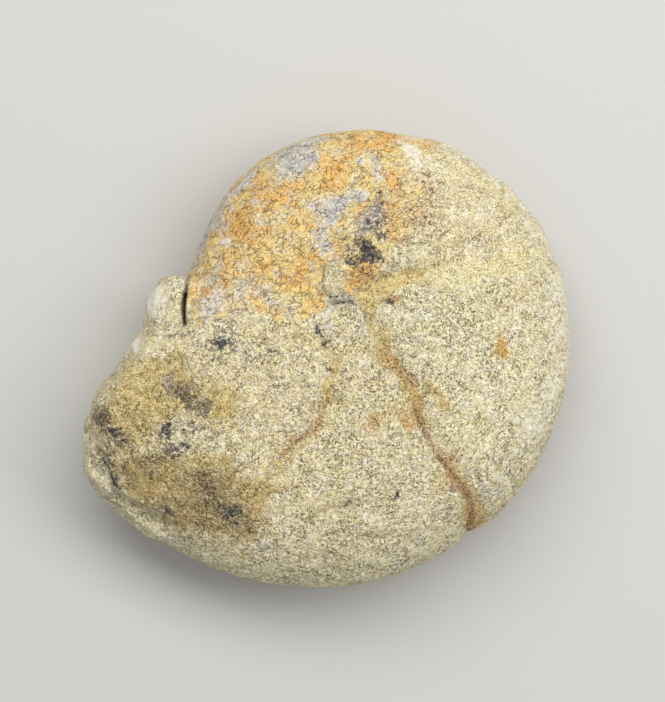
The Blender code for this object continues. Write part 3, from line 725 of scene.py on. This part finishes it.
# %% [markdown]
# ## Iron
# Iron soaked into the sand where water stood: mustard and brown at the mouth, rust along the grooves, and
# amber in a few spots. An outline marks how far a stain reaches at all, and the spots and streaks are its
# strongest places. The first cell isn't a colour of iron: it says where the ground is warmer, and where it
# is worn smoother.

# %% Warmer and smoother ground
keep("warmer", stain(
    spots=((-22, -12, 14, 0.7), (-8, -32, 14, 0.5), (12, -18, 10, 0.4), (-12, -2, 10, 0.5),
           (24, 24, 12, 0.7), (2, -9, 6, 0.7), (38, 14, 8, 0.4), (-44, -2, 6, 0.4))))
keep("smoothed", on_top * stain(
    spots=((8.3, 1.8, 2.6, 0.95), (-43, -7, 3.0, 0.6), (-40, 6, 3.0, 0.7), (28, 27, 7.0, 0.7),
           (24.4, 18.5, 2.4, 0.8), (36, 18, 6.0, 0.5), (22, 34, 5.0, 0.6), (14, 33, 4.0, 0.4),
           (18, 14, 4.0, 0.5), (44, 6, 5.0, 0.4)),
    streaks=((((8, 9), (14, 11), (22, 12), (32, 13), (44, 16)), 2.6, 0.9),
             (((22, 35), (34, 29), (40, 22)), 2.5, 0.5))))

# %% Mustard and brown
GROOVE_BED = MAIN_CONSTRICTION[:11]
mustard = stain(
    spots=((-44.5, -13, 3.6, 0.95), (-47, -18, 3.0, 0.9), (-40.5, -18, 3.0, 0.9), (-46.5, -24, 2.4, 0.8),
           (-37, -11, 2.2, 0.8), (-27.6, -19.4, 2.0, 0.85), (-26, -15.5, 1.8, 0.5), (-37.5, -6.5, 1.7, 0.8),
           (-46, -32, 2.6, 0.8), (-42.4, -36.2, 2.4, 0.8), (-39, -33, 2.0, 0.6), (-20, -37.5, 3.0, 0.85),
           (-21, -43, 1.8, 0.8), (-16.5, -36, 2.0, 0.5), (9.2, 5.6, 1.6, 0.6), (-0.8, 9.4, 2.6, 0.5),
           (0.1, -17.7, 1.6, 0.7), (5.9, -13.2, 1.2, 0.5), (5.5, -21.2, 2.0, 0.7), (13, -21, 1.9, 0.8),
           (21, 23, 0.9, 0.6), (34.4, -6.2, 1.5, 0.95), (36, 3, 0.8, 0.5), (39.6, 6.9, 0.8, 0.4),
           (-9, -37, 2.2, 0.35), (-16, -21, 1.6, 0.4), (28.5, -43, 2.4, 0.6), (21, -38, 2.4, 0.3)),
    streaks=((((5.2, 6.4), (4.5, 2.5), (5.6, -0.6), (7.7, -2.2), (8, -5.4)), 1.5, 0.9),
             (GROOVE_BED[:4], 1.8, 0.75), (GROOVE_BED[3:6], 1.6, 0.35),
             (((22.0, -32), (25.5, -36), (28.2, -40), (28.6, -43.5)), 2.9, 0.6),
             (((5.2, 6.4), (7.7, 7.3), (11.8, 9.2), (16, 11)), 1.6, 0.8),
             (((34.5, -1.8), (34.6, -5.0)), 0.7, 0.9), (((-2.2, -9), (-3.5, -17)), 1.1, 0.7),
             (((-4, -18), (-8, -24), (-14, -30), (-19, -34)), 2.0, 0.5),
             (((-32.4, -30), (-26, -31.5)), 1.6, 0.8), (((-6, 40.5), (3, 42)), 0.8, 0.4),
             (((8, 9.4), (14, 11.4), (20, 12.6)), 0.9, 0.5), (((-14, -1), (-6, -4.5), (3, -6)), 2.2, 0.4),
             (((18, -13.6), (20.6, -15.8), (23.3, -18.8)), 1.2, 0.75)))
LOWER_STAIN = ((-57, -22), (-53, -34), (-46, -40), (-39, -45), (-29, -48.5), (-19, -47), (-18, -36),
               (-27, -31), (-36, -30), (-42, -27), (-48, -28), (-51, -20))
MOUTH_STAIN = ((-51, -10), (-54, -18), (-50, -26), (-42, -26), (-36, -21), (-25, -22), (-23, -14), (-33, -9),
               (-42, -7))
MOUTH_FADE = 8.0
MUSTARD_MOUTH, MUSTARD_LOWER, BROWN_LOWER = 0.55, 0.4, 0.55
mouth, lower = area(MOUTH_STAIN, MOUTH_FADE), area(LOWER_STAIN, MOUTH_FADE)
# The chipped edge is fresher stone, so the stains of the mouth hardly reach past it.
FRESH_SHARE, FRESH_LEFT_OF, FRESH_FADE = 0.25, -30.0, 2.0
edge_gap, edge_side, _ = distance_to(CHIPPED_EDGE, *still)
inside_edge = smooth(edge_gap * edge_side / FRESH_FADE + 0.5)
weathered = on_top * mix(FRESH_SHARE, 1.0, np.where(still[0] < FRESH_LEFT_OF, inside_edge, 1.0))
clear = (1.0 - mustard) * (1.0 - MUSTARD_MOUTH * mouth) * (1.0 - MUSTARD_LOWER * lower)
keep("mustard", weathered * (1.0 - clear))
brown = stain(
    spots=((-46, -23, 2.4, 0.5), (-36, -12, 2.0, 0.6), (-34.5, -15, 3.0, 0.7), (-31, -18.5, 2.4, 0.6),
           (-53, -20, 2.6, 0.7), (-48, -32, 2.6, 0.7), (-45, -36, 2.8, 0.8), (-40, -31.5, 2.6, 0.7),
           (-37, -36, 3.2, 0.9), (-32, -37, 3.4, 0.95), (-31, -42, 3.6, 0.95), (-36.5, -43, 2.8, 0.9),
           (-26, -44, 2.6, 0.85), (-25, -37, 2.0, 0.6), (-40, -25.5, 2.4, 0.4), (-21.5, -45, 1.6, 0.6),
           (-49.5, -27, 1.8, 0.5), (3.2, 10.0, 2.2, 0.3), (5.4, 23, 2.6, 0.4), (9, 26, 2.0, 0.3)),
    streaks=((((-45, -40), (-40, -43.6)), 1.6, 0.5),))
keep("brown", weathered * (1.0 - (1.0 - brown) * (1.0 - BROWN_LOWER * lower)))

# %% Rust and amber
keep("rust", on_top * stain(
    spots=((23.6, -35.2, 1.0, 0.5), (-27.6, -19.6, 1.2, 0.3), (-36, -11.6, 1.4, 0.3),
           (-25.8, -35, 1.6, 0.5), (-37, -43, 2.4, 0.35), (-21.6, -41, 1.8, 0.4), (5.4, -22.8, 1.4, 0.6),
           (5.7, -13.2, 1.0, 0.45), (13.6, -22, 1.2, 0.5), (9.9, 5.2, 1.1, 0.5), (-42.6, -36.6, 1.2, 0.5),
           (34.4, -7.0, 1.0, 0.5), (27.9, -44, 1.4, 0.6)),
    streaks=((((8.6, -6.2), (11.8, -10.3), (14.6, -14), (16.2, -19)), 1.4, 0.6),
             (((16.2, -19), (18.6, -24), (22.0, -30)), 0.8, 0.5),
             (((22.6, -31.0), (25.6, -35), (28.0, -39.4), (28.2, -43)), 1.9, 0.6),
             (((5.0, -22.4), (8.8, -20.1), (11.1, -19.8), (14, -22.4)), 0.8, 0.6),
             (((-6.6, -22), (-9.6, -24.6), (-12.2, -27.4), (-14.6, -30.4)), 1.0, 0.6),
             (((-3.4, -16.5), (-4.8, -19.6), (-6.6, -22)), 0.8, 0.5))))
keep("amber", on_top * stain(
    places=still,
    spots=((34.4, -5.8, 1.5, 1.0), (34.3, -3.6, 0.8, 0.8), (5.4, 11.8, 2.0, 0.7), (2.6, 9.2, 1.8, 0.5),
           (11.2, 5.0, 0.9, 0.8), (-30.6, 6.8, 1.3, 0.8), (-26.4, 8.8, 1.2, 0.6), (-25.5, 6.0, 0.8, 0.7),
           (-25.3, 2.8, 0.9, 0.7), (-23.8, 20.8, 2.4, 1.0), (-22.4, 24.6, 1.3, 0.7),
           (-17.0, 22.0, 1.0, 0.5), (9.4, -8.0, 1.2, 0.5), (-27.4, -19.0, 1.2, 0.4)),
    streaks=((((10.0, -7.8), (13.0, -11.4), (15.4, -15)), 1.0, 0.45),)))
keep("dark rust", on_top * stain(
    places=still,
    spots=((23.6, -36.4, 1.0, 0.8),),
    streaks=((((10.5, -9.6), (13.4, -13.2), (15.1, -19.4)), 0.4, 0.45),
             (((15.1, -19.4), (17.5, -24.3), (20.2, -29.2), (22.9, -32.8)), 0.5, 0.95),
             (((22.9, -32.8), (25.5, -36.4), (27.5, -40), (27.8, -43), (27.4, -45.5)), 0.85, 0.9),
             (((-7.0, -22.6), (-8.8, -24.4), (-9.8, -25.6)), 0.7, 0.7),
             (((-9.8, -25.6), (-12.4, -27.8), (-14.6, -30)), 0.4, 0.6),
             (((-2.4, -10.5), (-3.2, -14.5), (-4.4, -18.2), (-6.8, -22.4)), 0.35, 0.45))))

# %% [markdown]
# ## Tools for the material
# A shader is built from nodes. A few helpers keep the lines short: they put down a node and fill or link
# its sockets, do one sum, turn a value into a mask, or mix two colours by a mask. Effects with several steps
# become shader node groups: a ragged stain, scattered grains, fine crevices, and the winding lines of the
# suture, where the chamber walls met the shell.


# %% Helpers for nodes
def put(tree, kind, sockets=None, **settings):
    """A node of this kind. A socket takes a number or a vector, or is linked to another node's output."""
    node = tree.nodes.new("ShaderNode" + kind)
    for name, value in settings.items():
        setattr(node, name, value)
    for name, value in (sockets or {}).items():
        if isinstance(value, bpy.types.NodeSocket):
            tree.links.new(value, node.inputs[name])
        else:
            node.inputs[name].default_value = value
    return node


def calculate(tree, operation, *values):
    """The result of one sum."""
    return put(tree, "Math", dict(enumerate(values)), operation=operation).outputs[0]


def between(tree, value, low, high, low_result=0.0, high_result=1.0):
    """Goes smoothly from one result to the other while the value goes from low to high."""
    sockets = {"Value": value, "From Min": low, "From Max": high,
               "To Min": low_result, "To Max": high_result}
    return put(tree, "MapRange", sockets, interpolation_type="SMOOTHSTEP").outputs[0]


def screen(red, green, blue):
    """A colour as a screen shows it, from 0 to 255, in the linear values that a shader takes."""
    return tuple(((value / 255.0 + 0.055) / 1.055) ** 2.4 for value in (red, green, blue)) + (1.0,)


def layer(tree, below, above, mask, kind="MIX"):
    """The colour below, with the colour above where the mask is."""
    mix_node = put(tree, "Mix", {0: mask, 6: below, 7: above}, data_type="RGBA", blend_type=kind)
    return mix_node.outputs[2]


def start_group(name, takes, gives):
    """An empty shader node group with named sockets, and its two end nodes."""
    group = bpy.data.node_groups.new(name, "ShaderNodeTree")
    for label, kind, value in takes:
        socket = group.interface.new_socket(label, in_out="INPUT", socket_type="NodeSocket" + kind)
        if value is not None:
            socket.default_value = value
    for label, kind in gives:
        group.interface.new_socket(label, in_out="OUTPUT", socket_type="NodeSocket" + kind)
    return group, group.nodes.new("NodeGroupInput").outputs, group.nodes.new("NodeGroupOutput").inputs


def use_group(tree, group, sockets):
    """The outputs of one use of a group."""
    node = tree.nodes.new("ShaderNodeGroup")
    node.node_tree = group
    for name, value in sockets.items():
        if isinstance(value, bpy.types.NodeSocket):
            tree.links.new(value, node.inputs[name])
        else:
            node.inputs[name].default_value = value
    return node.outputs


# %% Group: a ragged stain
ragged, taken, given = start_group(
    "ragged stain",
    [("Vector", "Vector", None), ("Strength", "Float", 0.0), ("Lump size", "Float", 1.0),
     ("Raggedness", "Float", 1.0), ("Softness", "Float", 0.15)],
    [("Mask", "Float")])
per_lump = calculate(ragged, "DIVIDE", 1.0, taken["Lump size"])
lumps = put(ragged, "TexNoise", {"Vector": taken["Vector"], "Scale": per_lump, "Detail": 5.0,
                                 "Roughness": 0.68}).outputs[0]
ragged_part = calculate(ragged, "MULTIPLY", calculate(ragged, "SUBTRACT", lumps, 0.5), taken["Raggedness"])
patchy = calculate(ragged, "ADD", taken["Strength"], ragged_part)
edge_low = calculate(ragged, "SUBTRACT", 0.5, taken["Softness"])
edge_high = calculate(ragged, "ADD", 0.5, taken["Softness"])
ragged.links.new(between(ragged, patchy, edge_low, edge_high), given["Mask"])
print("group:", ragged.name)

# %% Group: scattered grains
grains, taken, given = start_group(
    "scattered grains",
    [("Vector", "Vector", None), ("Grain size", "Float", 0.5), ("Cover", "Float", 0.2),
     ("Softness", "Float", 0.05)],
    [("Mask", "Float")])
per_grain = calculate(grains, "DIVIDE", 1.0, taken["Grain size"])
field = put(grains, "TexNoise", {"Vector": taken["Vector"], "Scale": per_grain, "Detail": 2.0}).outputs[0]
least = put(grains, "MapRange", {"Value": taken["Cover"], "To Min": 0.78, "To Max": 0.28}).outputs[0]
grains.links.new(between(grains, field, calculate(grains, "SUBTRACT", least, taken["Softness"]),
                         calculate(grains, "ADD", least, taken["Softness"])), given["Mask"])
print("group:", grains.name)

# %% Group: fine crevices
crevices, taken, given = start_group(
    "fine crevices", [("Vector", "Vector", None), ("Size", "Float", 0.85), ("Width", "Float", 0.05)],
    [("Mask", "Float")])
per_size = calculate(crevices, "DIVIDE", 1.0, taken["Size"])
hilly = put(crevices, "TexNoise", {"Vector": taken["Vector"], "Scale": per_size, "Detail": 3.0,
                                   "Roughness": 0.6}).outputs[0]
from_contour = calculate(crevices, "ABSOLUTE", calculate(crevices, "SUBTRACT", hilly, 0.5))
narrow = calculate(crevices, "MULTIPLY", taken["Width"], 0.3)
crevice = between(crevices, from_contour, taken["Width"], narrow)
elsewhere = put(crevices, "VectorMath", {0: taken["Vector"], 1: (9.0, 18.0, -9.0)},
                operation="ADD").outputs[0]
per_stretch = calculate(crevices, "MULTIPLY", per_size, 0.77)
broken_up = put(crevices, "TexNoise", {"Vector": elsewhere, "Scale": per_stretch, "Detail": 2.0}).outputs[0]
crevice = calculate(crevices, "MULTIPLY", crevice, between(crevices, broken_up, 0.42, 0.54))
crevices.links.new(crevice, given["Mask"])
print("group:", crevices.name)

# %% Group: suture lines
sutures, taken, given = start_group(
    "suture lines",
    [("Vector", "Vector", None), ("Lobe width", "Float", 1.15), ("Lobe length", "Float", 2.9),
     ("Line width", "Float", 0.08)],
    [("Lines", "Float"), ("Shade", "Float"), ("Rounding", "Float")])


def pushed(vector, size, reach, shift):
    """The vector, pushed about by noise with lumps of so many mm."""
    moved = put(sutures, "VectorMath", {0: taken["Vector"], 1: (shift, -shift, shift)},
                operation="ADD").outputs[0]
    push = put(sutures, "TexNoise", {"Vector": moved, "Scale": 1.0 / size, "Detail": 1.5}).outputs["Color"]
    push = put(sutures, "VectorMath", {0: push, "Scale": reach}, operation="SCALE").outputs[0]
    return put(sutures, "VectorMath", {0: vector, 1: push}, operation="ADD").outputs[0]


winding = pushed(pushed(taken["Vector"], 7.0, 6.0, 5.0), 1.6, 1.7, 9.0)
one_lobe = put(sutures, "CombineXYZ", {"X": taken["Lobe length"], "Y": taken["Lobe width"],
                                       "Z": taken["Lobe width"]}).outputs[0]
winding = put(sutures, "VectorRotate", {"Vector": winding, "Angle": -0.6}, rotation_type="Z_AXIS").outputs[0]
winding = put(sutures, "VectorMath", {0: winding, 1: one_lobe}, operation="DIVIDE").outputs[0]
lobes = {"Vector": winding, "Scale": 1.0, "Randomness": 0.9}
to_edge = put(sutures, "TexVoronoi", lobes, feature="DISTANCE_TO_EDGE").outputs["Distance"]
lobe_colour = put(sutures, "TexVoronoi", lobes).outputs["Color"]
worn_off = put(sutures, "TexNoise", {"Vector": taken["Vector"], "Scale": 0.6, "Detail": 2.0}).outputs[0]
hairline = calculate(sutures, "MULTIPLY", taken["Line width"], 0.3)
lines = between(sutures, to_edge, taken["Line width"], hairline)
lines = calculate(sutures, "MULTIPLY", lines, between(sutures, worn_off, 0.42, 0.54))
sutures.links.new(lines, given["Lines"])
sutures.links.new(put(sutures, "SeparateColor", {"Color": lobe_colour}).outputs[0], given["Shade"])
sutures.links.new(between(sutures, to_edge, 0.0, 0.35), given["Rounding"])
print("group:", sutures.name)

# %% [markdown]
# ## The stone's finish
# The stone is cream, mottled in patches a few millimetres wide. The stains are glazed over it from the
# ground up, as a painter would: yellow, orange and grey on the older whorl, peach fronds beside it,
# mustard, brown and umber at the mouth, rust in the grooves. Then come the grains of sand, the crevices and
# the fine suture lines, and last the black and the white marks. The pattern is laid out in millimetres
# about the umbilicus, through a Mapping node on Object coordinates.

# %% Make the stone's material
STONE_COLOUR, STONE_ROUGHNESS, STONE_SHINE = (0.62, 0.53, 0.36), 0.88, 0.3
finish, shader = plain_material("stone", STONE_COLOUR, STONE_ROUGHNESS)
tree = finish.node_tree
where = put(tree, "TexCoord").outputs["Object"]
coil = put(tree, "Mapping", {"Vector": where, "Location": tuple(-umbilicus),
                             "Scale": (1.0 / MM,) * 3}).outputs[0]


def strength(name):
    """The strength that the skin keeps under this name."""
    return put(tree, "Attribute", attribute_name=name).outputs["Fac"]


def noise_of(size, detail=3.0, rough=0.5, shift=0.0):
    """Noise with lumps of so many mm."""
    moved = put(tree, "Mapping", {"Vector": coil, "Location": (shift, 2.0 * shift, -shift)}).outputs[0]
    sockets = {"Vector": moved, "Scale": 1.0 / size, "Detail": detail, "Roughness": rough}
    return put(tree, "TexNoise", sockets).outputs[0]


def patches(size, low, high, detail=4.0, rough=0.65, shift=0.0):
    """A mask: 0 where noise of this size is under one value, 1 where it is over the other."""
    return between(tree, noise_of(size, detail, rough, shift), low, high)


def times(*values):
    """All the values multiplied together."""
    product = values[0]
    for value in values[1:]:
        product = calculate(tree, "MULTIPLY", product, value)
    return product


def stained(below, colour, amount, size=1.0, raggedness=1.0, softness=0.15, opacity=1.0):
    """The colour below with one ragged stain on it, in lumps of so many mm."""
    mask = use_group(tree, ragged, {"Vector": coil, "Strength": amount, "Lump size": size,
                                    "Raggedness": raggedness, "Softness": softness})["Mask"]
    return layer(tree, below, colour, times(mask, opacity))


def glazed(below, coats):
    """The colour below with plain stains on it: (name, colour, size, raggedness, softness, opacity)."""
    for name, colour, size, raggedness, softness, opacity in coats:
        below = stained(below, screen(*colour), strength(name), size, raggedness, softness, opacity)
    return below


def speckled(below, colour, size, cover, softness=0.05, opacity=1.0):
    """The colour below with scattered grains on it."""
    mask = use_group(tree, grains, {"Vector": coil, "Grain size": size, "Cover": cover,
                                    "Softness": softness})["Mask"]
    return layer(tree, below, colour, times(mask, opacity))


# %% The cream ground
ground = layer(tree, screen(253, 244, 203), screen(245, 236, 192), patches(16.0, 0.35, 0.65, 4.0, 0.6))
ground = layer(tree, ground, screen(234, 213, 156), times(strength("warmer"), 0.8))
ground = layer(tree, ground, screen(246, 232, 172), times(patches(6.0, 0.48, 0.66, 4.0, 0.6, 43.0), 0.6))
ground = layer(tree, ground, screen(238, 230, 210), times(patches(5.0, 0.5, 0.68, 5.0, 0.65, 47.0), 0.6))
ground = layer(tree, ground, screen(218, 199, 146), patches(2.6, 0.48, 0.72, 5.0, 0.65, 3.0))
ground = layer(tree, ground, screen(255, 253, 238), patches(1.5, 0.52, 0.68, 4.0, 0.6, 7.0))
ground = speckled(ground, screen(160, 134, 74), 1.6, 0.16, 0.03, 0.55)
print("the ground takes", len(tree.nodes), "nodes")

# %% [markdown]
# ## The older whorl
# On the older whorl the stone shows the sutures, frilled lines with lobes between them. Drawn one by one,
# they would need long lists of curves. The cells of a Voronoi texture, pushed about by noise, give lobes of
# the same size. Their edges are the lines, and each lobe leans a little to yellow or to orange.

# %% The older whorl: yellow and orange lobes
lobe = use_group(tree, sutures, {"Vector": coil, "Lobe width": 1.15, "Lobe length": 2.9, "Line width": 0.08})
own_shade = times(calculate(tree, "SUBTRACT", lobe["Shade"], 0.5), 0.16)
warmth = calculate(tree, "ADD", noise_of(5.0, 4.0, 0.6, 11.0), own_shade)
warmth = calculate(tree, "ADD", warmth, times(strength("orange"), 0.19))
older = layer(tree, screen(255, 240, 186), screen(255, 226, 148), between(tree, warmth, 0.36, 0.47))
older = layer(tree, older, screen(255, 213, 124), times(between(tree, warmth, 0.48, 0.57), 0.85))
older = layer(tree, older, screen(250, 186, 88), times(between(tree, warmth, 0.58, 0.68), 0.85))
older = layer(tree, older, screen(240, 234, 214), times(patches(3.4, 0.52, 0.62, 5.0, shift=31.0), 0.65))
older = layer(tree, older, screen(202, 202, 200), times(patches(1.7, 0.56, 0.64, shift=71.0), 0.5))
older = stained(older, screen(240, 238, 232), strength("grey"), 1.4, 1.6, 0.3, 0.85)
older = stained(older, screen(186, 190, 200), times(strength("grey"), 0.75), 0.9, 1.8, 0.25, 0.8)
in_whorl = use_group(tree, ragged, {"Vector": coil, "Strength": strength("whorl stain"), "Lump size": 2.4,
                                    "Raggedness": 1.4, "Softness": 0.15})["Mask"]
ground = stained(ground, screen(222, 220, 214), strength("grey"), 1.2, 1.6, 0.3, 0.6)
ground = layer(tree, ground, older, in_whorl)
# Fronds and lemon, then the olive rings with their painted shade.
ground = glazed(ground, (("fronds", (232, 196, 146), 1.0, 2.2, 0.12, 0.75),
                         ("lemon", (240, 226, 152), 1.6, 1.2, 0.4, 0.75),
                         ("olive rings and shade", (188, 162, 98), 0.8, 1.6, 0.3, 0.75)))
print("with the older whorl,", len(tree.nodes), "nodes")

# %% [markdown]
# ## Sand and stains
# Grains of sand are too small and too many to model, so they are noise in the colour. Part of it is the
# sand's
# own colour and part is painted light: high places get pale crowns, a painted highlight, and low places dark
# pits, painted shade. A stain soaks in between the crowns, so the same noise thins it on them. Near the lower
# rim wear has drawn the sand out into streaks, which are noise laid out by bearing and distance from the
# umbilicus instead of by X and Y.

# %% Sand, streaked near the lower rim
STREAKS_PER_RADIAN, STREAKS_PER_MM = 16.0, 2.2  # along the coil and across it
sand = noise_of(0.5, 4.0, 0.65, 23.0)
right, ahead, over = put(tree, "SeparateXYZ", {"Vector": coil}).outputs
bearing = calculate(tree, "ARCTAN2", right, times(ahead, -1.0))
outward = calculate(tree, "SQRT", calculate(tree, "ADD", times(right, right), times(ahead, ahead)))
along_rim = put(tree, "CombineXYZ", {"X": times(bearing, STREAKS_PER_RADIAN),
                                     "Y": times(outward, STREAKS_PER_MM),
                                     "Z": times(over, STREAKS_PER_MM)}).outputs[0]
streaked = put(tree, "TexNoise", {"Vector": along_rim, "Scale": 1.0, "Detail": 4.0,
                                  "Roughness": 0.65}).outputs[0]
near_rim = times(between(tree, outward, 22.0, 34.0), between(tree, ahead, 2.0, -16.0), 0.75)
sand = put(tree, "Mix", {0: near_rim, 2: sand, 3: streaked}).outputs[0]
between_crowns = between(tree, sand, 0.66, 0.5, 0.45, 1.0)
print("with the sand,", len(tree.nodes), "nodes")

# %% Glaze the mustard, brown and rust
mustard_sand = layer(tree, screen(230, 203, 126), screen(204, 174, 96), patches(2.6, 0.46, 0.6, shift=51.0))
mustard_sand = layer(tree, mustard_sand, screen(190, 166, 96), patches(1.8, 0.54, 0.66, shift=53.0))
ground = stained(ground, mustard_sand, strength("mustard"), 1.6, 3.2, 0.55, times(between_crowns, 0.95))
brown_sand = layer(tree, screen(178, 152, 90), screen(140, 124, 90), patches(3.6, 0.44, 0.58, shift=57.0))
brown_sand = layer(tree, brown_sand, screen(132, 112, 76), patches(1.6, 0.5, 0.66, shift=59.0))
ground = stained(ground, brown_sand, strength("brown"), 1.8, 3.0, 0.5, times(between_crowns, 0.95))
ground = stained(ground, screen(86, 68, 50), strength("umber"), 0.9, 2.4, 0.22,
                 between(tree, between_crowns, 0.45, 1.0, 0.7, 0.95))
ground = glazed(ground, (("rust", (212, 162, 102), 0.9, 1.8, 0.4, 0.9),
                         ("amber", (226, 164, 66), 0.9, 1.4, 0.3, 0.8),
                         ("lilac", (186, 176, 164), 0.6, 2.4, 0.35, 0.85),
                         ("dark rust", (146, 100, 56), 0.7, 1.2, 0.4, 0.85)))
print("with the stains of the mouth,", len(tree.nodes), "nodes")

# %% Sand grains with a painted highlight and painted shade, crevices painted dark, and suture lines
unworn = between(tree, strength("smoothed"), 0.0, 1.0, 1.0, 0.6)
clusters = times(between(tree, noise_of(4.5, 3.0, 0.6, 19.0), 0.35, 0.62, 0.45, 1.0), unworn)
uneven = between(tree, noise_of(4.6, 4.0, 0.6, 61.0), 0.4, 0.58, 0.3, 1.0)
under_stains = between(tree, calculate(tree, "MAXIMUM", strength("mustard"), strength("brown")), 0.3, 0.8)
# Pale crowns: a painted highlight on the high grains, whiter on the grey and yellower under the stains.
crown_highlight = layer(tree, screen(255, 253, 230), screen(255, 236, 184), in_whorl)
crown_highlight = layer(tree, crown_highlight, screen(236, 236, 232), strength("grey"))
crown_highlight = layer(tree, crown_highlight, screen(238, 222, 168), under_stains)
crown_highlight_share = between(tree, under_stains, 0.0, 1.0, 0.5, 0.3)
pit_share = between(tree, in_whorl, 0.0, 1.0, 1.0, 0.65)
ground = layer(tree, ground, crown_highlight, times(between(tree, sand, 0.5, 0.68), crown_highlight_share))
# Dark pits: painted shade in the low places of the sand, and below in the finer grit.
sand_pit_shade = times(between(tree, sand, 0.45, 0.33), unworn, pit_share, uneven)
ground = layer(tree, ground, screen(146, 124, 28), sand_pit_shade, "MULTIPLY")
grit = noise_of(0.27, 2.0, 0.6, 37.0)
ground = layer(tree, ground, crown_highlight, times(between(tree, grit, 0.51, 0.64), 0.6))
grit_pit_shade = times(between(tree, grit, 0.45, 0.36), pit_share, between(tree, uneven, 0.3, 1.0, 0.6, 1.0))
ground = layer(tree, ground, screen(98, 80, 6), grit_pit_shade, "MULTIPLY")
ground = speckled(ground, screen(58, 46, 2), 0.44, 0.24, 0.03, times(clusters, pit_share))
# Fine crevices are painted dark, as shade in them.
creviced = use_group(tree, crevices, {"Vector": coil, "Size": 0.6, "Width": 0.06})["Mask"]
creviced = times(creviced, clusters)
crevice_share = between(tree, in_whorl, 0.0, 1.0, 0.95, 0.3)
ground = layer(tree, ground, screen(72, 54, 6), times(creviced, crevice_share))
fronds = use_group(tree, ragged, {"Vector": coil, "Strength": strength("fronds"), "Lump size": 1.0,
                                  "Raggedness": 2.2, "Softness": 0.12})["Mask"]
suture_mask = times(lobe["Lines"], calculate(tree, "MAXIMUM", in_whorl, fronds))
ground = layer(tree, ground, screen(112, 72, 30), times(suture_mask, 0.68))
ground = layer(tree, ground, screen(84, 58, 34), times(lobe["Lines"], fronds, 0.7))
ground = layer(tree, ground, screen(70, 62, 54), times(creviced, strength("specks"), 0.9))
print("with grains and lines,", len(tree.nodes), "nodes")

# %% Glaze the black and white marks
black_sand = layer(tree, screen(38, 40, 48), screen(120, 120, 124),
                   patches(0.55, 0.52, 0.66, 3.0, 0.6, 67.0))
ground = stained(ground, black_sand, strength("black"), 0.6, 2.8, 0.34, 0.96)
# White calcite, with a painted highlight on the ear.
ground = glazed(ground, (("white", (255, 253, 240), 0.9, 2.0, 0.3, 0.8),))
# The pale shell edge and painted highlight along the rim.
ground = layer(tree, ground, screen(255, 250, 232), times(strength("pale and lit rim"), 0.6))
# Then the pale ring, and the cracks painted dark as shade.
ground = glazed(ground, (("pale ring", (240, 237, 228), 0.8, 3.4, 0.4, 0.5),
                         ("cracks", (62, 48, 36), 0.9, 1.6, 0.3, 0.85)))
tree.links.new(ground, shader.inputs["Base Color"])
print("with all the marks,", len(tree.nodes), "nodes")

# %% [markdown]
# ## Grain that catches the light
# The grains stand about a tenth of a millimetre high, and the skin's points are farther apart than that. A
# Bump node tilts the light instead. It reads the same noise as the colours do, so a dark pit is low as well.

# %% The grain as a bump
BUMP_HEIGHT = 0.22  # mm
grain_height = calculate(tree, "ADD", times(sand, unworn, 1.1), times(noise_of(2.4, 3.0, 0.5, 29.0), 2.8))
grain_height = calculate(tree, "ADD", grain_height, times(grit, 0.6))
grain_height = calculate(tree, "ADD", grain_height, times(lobe["Rounding"], in_whorl, 0.5))
grain_height = calculate(tree, "SUBTRACT", grain_height, times(creviced, 0.3))
grain_height = calculate(tree, "SUBTRACT", grain_height, times(suture_mask, 0.4))
bump = put(tree, "Bump", {"Height": grain_height, "Strength": 1.0, "Distance": BUMP_HEIGHT * MM})
tree.links.new(bump.outputs["Normal"], shader.inputs["Normal"])
roughness = between(tree, noise_of(1.5, 4.0, 0.6, 31.0), 0.3, 0.7, 0.78, 0.96)
tree.links.new(roughness, shader.inputs["Roughness"])
shader.inputs["Specular IOR Level"].default_value = STONE_SHINE
skin.materials.clear()
skin.materials.append(finish)
print("the stone's material has", len(tree.nodes), "nodes")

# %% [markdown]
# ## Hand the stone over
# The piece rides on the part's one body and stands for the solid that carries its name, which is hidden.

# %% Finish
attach(stone, "root")
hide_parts("ammonite")
